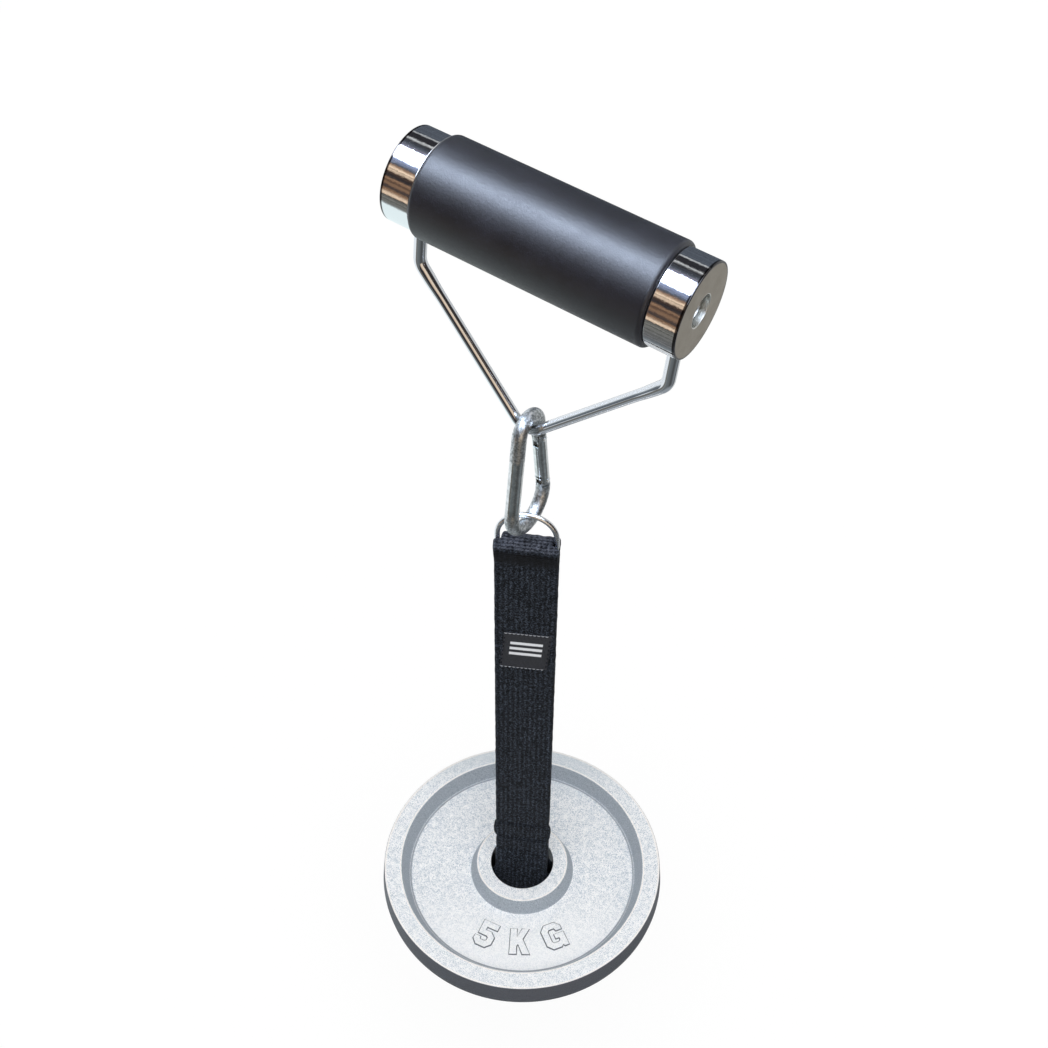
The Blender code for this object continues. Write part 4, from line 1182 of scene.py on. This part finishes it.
# The raised marks: squarish outlines in millimetres, with their corners cut
MARK_OUTLINES = {
    "mark_digit": (
        (1.4, 22.2), (17.0, 22.2), (17.0, 17.2), (7.0, 17.2), (6.6, 14.4), (12.6, 14.4), (17.4, 10.6),
        (17.4, 4.2), (13.2, 0), (4.2, 0), (0, 3.8), (0, 7.4), (5.2, 7.4), (6.0, 5.2), (10.6, 5.2),
        (11.9, 6.5), (11.9, 8.5), (10.6, 9.8), (1.8, 9.8),
    ),
    "mark_letter_first": (
        (0, 0), (6.4, 0), (6.4, 7.0), (7.8, 8.8), (11.8, 0), (18.6, 0), (11.9, 13.2), (17.6, 22.2),
        (11.2, 22.2), (6.6, 14.8), (6.6, 22.2), (0.8, 22.2),
    ),
    "mark_letter_second": (
        (4.6, 22.2), (14.4, 22.2), (18.8, 18.2), (18.8, 14.8), (13.4, 14.8), (12.4, 17.2), (7.4, 17.2),
        (5.8, 15.6), (5.8, 6.6), (7.2, 5.0), (12.2, 5.0), (13.6, 6.4), (13.6, 8.2), (10.2, 8.2),
        (10.2, 12.2), (19.4, 12.2), (19.4, 0), (15.4, 0), (14.4, 1.6), (12.4, 0), (4.4, 0), (0, 4.4),
        (0, 17.8),
    ),
}

# The marks' walls, from below the web to the top face: height, and how far in from the outline
MARK_LEVELS = ((-0.5, -0.85), (0.0, -0.8), (MARK_RISE / MM - 0.1, 0.0), (MARK_RISE / MM, 0.12))


def make_plate(finish):
    outline = []
    for i, (radius, height, rounding) in enumerate(PLATE_CORNERS):
        following = PLATE_CORNERS[(i + 1) % len(PLATE_CORNERS)]
        trio = [PLATE_CORNERS[i - 1][:2], (radius, height), following[:2]]
        outline += rounded(trio, rounding, 6)[7:14]
    plate = piece_from(turned(outline, 256), "cast_plate", finish, "plate",
                       ["weight_plate"], plate_place, 50.0)
    weight_normals(plate)


def outline_sense(points):
    """Which way an outline runs: 1 clockwise, -1 anticlockwise."""
    area = sum(points[i - 1].x * point.y - point.x * points[i - 1].y for i, point in enumerate(points))
    return -1 if area > 0 else 1


def make_mark(name, outline, step, finish):
    """One raised mark on the plate's web, its top towards the hub."""
    width = max(x for x, y in outline)
    middle = max(y for x, y in outline) / 2
    points = [Vector(((x - width / 2) * MARK_NARROW * MM, (y - middle) * MM)) for x, y in outline]
    sense = outline_sense(points)
    shape = bmesh.new()
    rings = []
    for height, inset in MARK_LEVELS:
        ring = []
        for i, here in enumerate(points):
            before = (here - points[i - 1]).normalized()
            after = (points[(i + 1) % len(points)] - here).normalized()
            normal = Vector((-(before.y + after.y), before.x + after.x)).normalized()
            moved = here - normal * inset * MM * sense
            ring.append(shape.verts.new((moved.x, moved.y, height * MM)))
        rings.append(ring)
    place = plate_place @ turn(MARK_AZIMUTH + step * MARK_STEP, "Z") @ move(MARK_RADIUS, 0, -PLATE_RECESS)
    piece_from(skin(shape, rings), name, finish, "plate", (), place @ turn(QUARTER, "Z"), 30.0)


# Floor, lights and camera

def make_floor():
    """A pale floor: plain white to the camera, where the object's shadow still shows."""
    made = bpy.data.materials.new("pale_floor")
    made.use_nodes = True
    tree = made.node_tree
    tree.nodes.clear()
    diffuse = given(tree, "ShaderNodeBsdfDiffuse", 0, {"Color": (0.8, 0.8, 0.8)})
    white = given(tree, "ShaderNodeEmission", 0, {"Color": (1, 1, 1), "Strength": 1.05})
    shown = given(tree, "ShaderNodeMixShader", 0, {0: 0.82, 1: diffuse, 2: white})
    seen = shader_switch(tree, "Is Camera Ray", diffuse, shown)
    passed = given(tree, "ShaderNodeBsdfTransparent", 0)
    add(tree, "ShaderNodeOutputMaterial", {"Surface": shader_switch(tree, "Is Glossy Ray", seen, passed)})
    shape = bmesh.new()
    bmesh.ops.create_grid(shape, x_segments=1, y_segments=1, size=FLOOR_HALF)
    floor = piece_from(shape, "floor", made, None, (), move(0, 0, FLOOR_Z))


# What polished metal mirrors. Each band is an angle in degrees and the tone there.

HOT = (15.0, 17.5, 22.0)
PALE = (0.62, 0.64, 0.65)
BRIGHT = (0.88, 0.93, 0.97)
LILAC = (0.32, 0.31, 0.40)
SKY_BLUE = (0.28, 0.33, 0.48)
STEEL_GREY = (0.20, 0.23, 0.25)
DUSK = (0.14, 0.145, 0.15)
MOSS = (0.17, 0.17, 0.155)
SLATE = (0.09, 0.105, 0.13)
IRON = (0.075, 0.082, 0.085)
NIGHT = (0.03, 0.03, 0.035)
SAND = (0.78, 0.60, 0.44)
OCHRE = (0.30, 0.18, 0.11)
BROWN = (0.07, 0.045, 0.035)

# Round the handle, from level towards the camera's side, upwards
HANDLE_BANDS = (
    (-128, PALE), (-94, PALE), (-86, STEEL_GREY), (-72, DUSK), (-32, MOSS), (-28, NIGHT), (-26, SAND),
    (-20, SAND), (-15, OCHRE), (-8, NIGHT), (1, OCHRE), (5, BROWN), (11, OCHRE), (16, NIGHT), (27, BROWN),
    (30, SAND), (38, SAND), (41, OCHRE), (46, SLATE), (53, SKY_BLUE), (60, SKY_BLUE), (64, HOT), (87, HOT),
    (92, LILAC), (100, SLATE), (113, NIGHT), (118, PALE), (122, NIGHT), (138, NIGHT), (141, PALE),
    (145, SLATE),
)

# Round the plumb line, from the side that the plate faces towards +X: below, and about level
LOW_BANDS = (
    (-148, BRIGHT), (-38, BRIGHT), (-26, (0.42, 0.46, 0.50)), (-14, (0.16, 0.18, 0.19)),
    (30, (0.12, 0.13, 0.135)), (44, IRON), (62, IRON), (78, DUSK), (96, STEEL_GREY), (118, DUSK),
    (132, DUSK), (142, PALE), (205, PALE),
)
LEVEL_BANDS = (
    (-180, (0.50, 0.52, 0.55)), (-150, BRIGHT), (-76, BRIGHT), (-64, STEEL_GREY), (-44, SLATE), (-30, NIGHT),
    (20, NIGHT), (34, SAND), (60, (0.85, 0.74, 0.60)), (70, BROWN), (125, NIGHT), (140, PALE), (165, PALE),
)
SKY_STRENGTH = 0.62


def banded(angle, bands):
    """A colour by an angle in radians, through bands that begin at the first one's angle."""
    start = bands[0][0]
    wrapped = maths("MODULO", angle - start * DEGREE + ROUND, ROUND)
    ramp = add(angle.tree, "ShaderNodeValToRGB", {"Fac": maths("DIVIDE", wrapped, ROUND)})
    stops = ramp.color_ramp.elements
    for i, (degrees, colour) in enumerate(bands):
        position = (degrees - start) / 360
        stop = stops[i] if i < 2 else stops.new(position)
        stop.position = position
        stop.color = (*colour, 1.0)
    return Value(angle.tree, ramp.outputs["Color"])


def streaked(colour, angle):
    """The same colour with fine lighter and darker streaks along equal angles."""
    place = given(angle.tree, "ShaderNodeCombineXYZ", "Vector", {"X": angle})
    share = mapped(mottle(place, 0.055, 3.0, 0.7), 0.34, 0.66, 0.35, 1.65)
    return vector_maths("SCALE", colour, share)


def mirrored_room(direction):
    """The colour that polished metal mirrors from a direction."""
    ripple = mapped(mottle(direction, 0.25, 2.0), 0.0, 1.0, -0.05, 0.05)
    toward = along_axis(direction, -DEPTHWISE)

    up = along_axis(direction, handle_turn @ UP)
    round_handle = maths("ARCTAN2", up, toward) + ripple
    handle_room = streaked(banded(round_handle, HANDLE_BANDS), round_handle)
    lengthwise = along_axis(direction, handle_turn @ RIGHT)
    beneath = mapped(round_handle, -47 * DEGREE, -54 * DEGREE)
    beneath = beneath * mapped(round_handle, -140 * DEGREE, -128 * DEGREE)
    handle_room = mixed(mapped(lengthwise, -0.34, -0.40) * beneath, handle_room, (0.86, 0.98, 1.0))
    by_handle = mapped(abs(lengthwise + 0.36), 0.125, 0.20, 1.0, 0.0, smooth=True)

    height = along_axis(direction, UP)
    round_plumb = maths("ARCTAN2", along_axis(direction, RIGHT), toward) + ripple
    low_room = banded(round_plumb, LOW_BANDS)
    low_room = mixed(mapped(height, -0.80, -0.94, smooth=True), low_room, (0.30, 0.33, 0.36))
    level_room = streaked(banded(round_plumb, LEVEL_BANDS), round_plumb)
    past_top = mapped(round_handle, 96 * DEGREE, 112 * DEGREE)
    overhead = mixed(past_top, (3.4, 3.9, 4.8), (0.9, 0.9, 0.92))
    room = mixed(mapped(height, -0.44, -0.34, smooth=True), low_room, level_room)
    room = mixed(mapped(height, 0.44, 0.54, smooth=True), room, NIGHT)
    room = mixed(mapped(height, 0.60, 0.70, smooth=True), room, overhead)
    return mixed(by_handle, room, handle_room)


def make_world():
    """A plain pale surround; mirrored rays see the bands of a lit room."""
    world = bpy.data.worlds.new("studio")
    bpy.context.scene.world = world
    world.use_nodes = True
    tree = world.node_tree
    tree.nodes.clear()

    def background(colour, strength=1.0):
        return given(tree, "ShaderNodeBackground", 0, {"Color": colour, "Strength": strength})

    room = mirrored_room(given(tree, "ShaderNodeTexCoord", "Generated"))
    lit = shader_switch(tree, "Is Glossy Ray", background((1, 1, 1), SKY_STRENGTH), background(room))
    add(tree, "ShaderNodeOutputWorld",
        {"Surface": shader_switch(tree, "Is Camera Ray", lit, background((1, 1, 1)))})


def make_key_light():
    light = bpy.data.lights.new("key", "SUN")
    light.energy = 1.35
    light.angle = 50 * DEGREE
    lamp = link_object("key", light)
    lamp.rotation_euler = (21.4 * DEGREE, 13.5 * DEGREE, 0)
    lamp.visible_glossy = False


def make_camera():
    data = bpy.data.cameras.new("view")
    data.lens = CAMERA_LENS
    data.sensor_width = CAMERA_SENSOR
    data.clip_end = 50.0
    camera = link_object("view", data)
    aim = turn(CAMERA_YAW, "Z") @ turn(QUARTER - CAMERA_PITCH, "X") @ turn(CAMERA_ROLL, "Z")
    camera.matrix_world = move(*CAMERA_PLACE) @ aim
    bpy.context.scene.camera = camera


def dress_nodes(finish, names):
    """Gives the nodes that stay their detailed finish."""
    for name in names:
        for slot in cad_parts[name].material_slots:
            slot.material = finish


def main():
    make_camera()
    make_world()
    make_key_light()
    make_floor()
    bpy.context.scene.view_settings.view_transform = "Standard"

    steel_tone = (0.42, 0.40, 0.37)
    steel = make_plain_material("turned_steel", (darker(steel_tone, 0.75), steel_tone), clouds=(5 * MM,),
                                grain=(0.35 * MM,), rough=(0.26, 0.40), relief=0.01 * MM, metallic=1.0)
    bearing = make_plain_material("bearing_plastic", ((0.68, 0.65, 0.56), (0.78, 0.75, 0.66)),
                                  clouds=(4 * MM,), grain=(0.5 * MM,), rough=0.5, relief=0.01 * MM,
                                  strength=1.0)
    black_coat = make_plain_material("black_coat", ((0.013, 0.013, 0.015), (0.030, 0.029, 0.029)),
                                     clouds=(7 * MM, 4.0, 0.6), grain=(0.6 * MM, 4.0, 0.6),
                                     rough=(0.42, 0.58), relief=0.05 * MM, spread=(0.4, 0.7))
    ring_nickel = make_zinc_material("ring_nickel", (0.84, 0.85, 0.86), (0.93, 0.94, 0.95), (0.20, 0.30))
    screw_zinc = make_zinc_material("screw_zinc", (0.70, 0.72, 0.72), (0.88, 0.90, 0.90), (0.10, 0.22))
    collar_chrome = make_collar_material()

    make_sleeve(make_grip_material())
    for side in ("left", "right"):
        make_collar(side, collar_chrome)
        make_end_screw(side, screw_zinc)
        dress_nodes(bearing, ["bush_" + side])
        dress_nodes(screw_zinc, ["lock_washer_" + side])
        dress_nodes(steel, ["thrust_washer_" + side, "bail_pin_" + side])
    dress_nodes(steel, ["core_shaft", "gate_plunger", "gate_spring"])
    make_bail(make_chrome_material())
    make_hook(make_hook_material(), screw_zinc)
    make_ring(ring_nickel)
    make_strap(make_webbing_material())
    make_seams(make_thread_material("thread_black", (0.010, 0.013, 0.019)))
    make_label(make_label_material(), make_thread_material("thread_pale", (0.42, 0.44, 0.48)),
               make_thread_material("thread_dark", (0.012, 0.013, 0.018)))
    make_bar(black_coat)
    # The plate's wall tones are darker than its faces as painted shade.
    make_plate(make_plate_material("cast_silver", (0.20, 0.24, 0.28), (0.51, 0.55, 0.60)))
    # The marks' walls are very dark as painted shade, which draws a dark outline round each mark.
    mark_finish = make_plate_material("mark_silver", (0.07, 0.08, 0.09), (0.13, 0.14, 0.16), 0.92)
    for step, (name, outline) in enumerate(MARK_OUTLINES.items(), -1):
        make_mark(name, outline, step, mark_finish)


main()
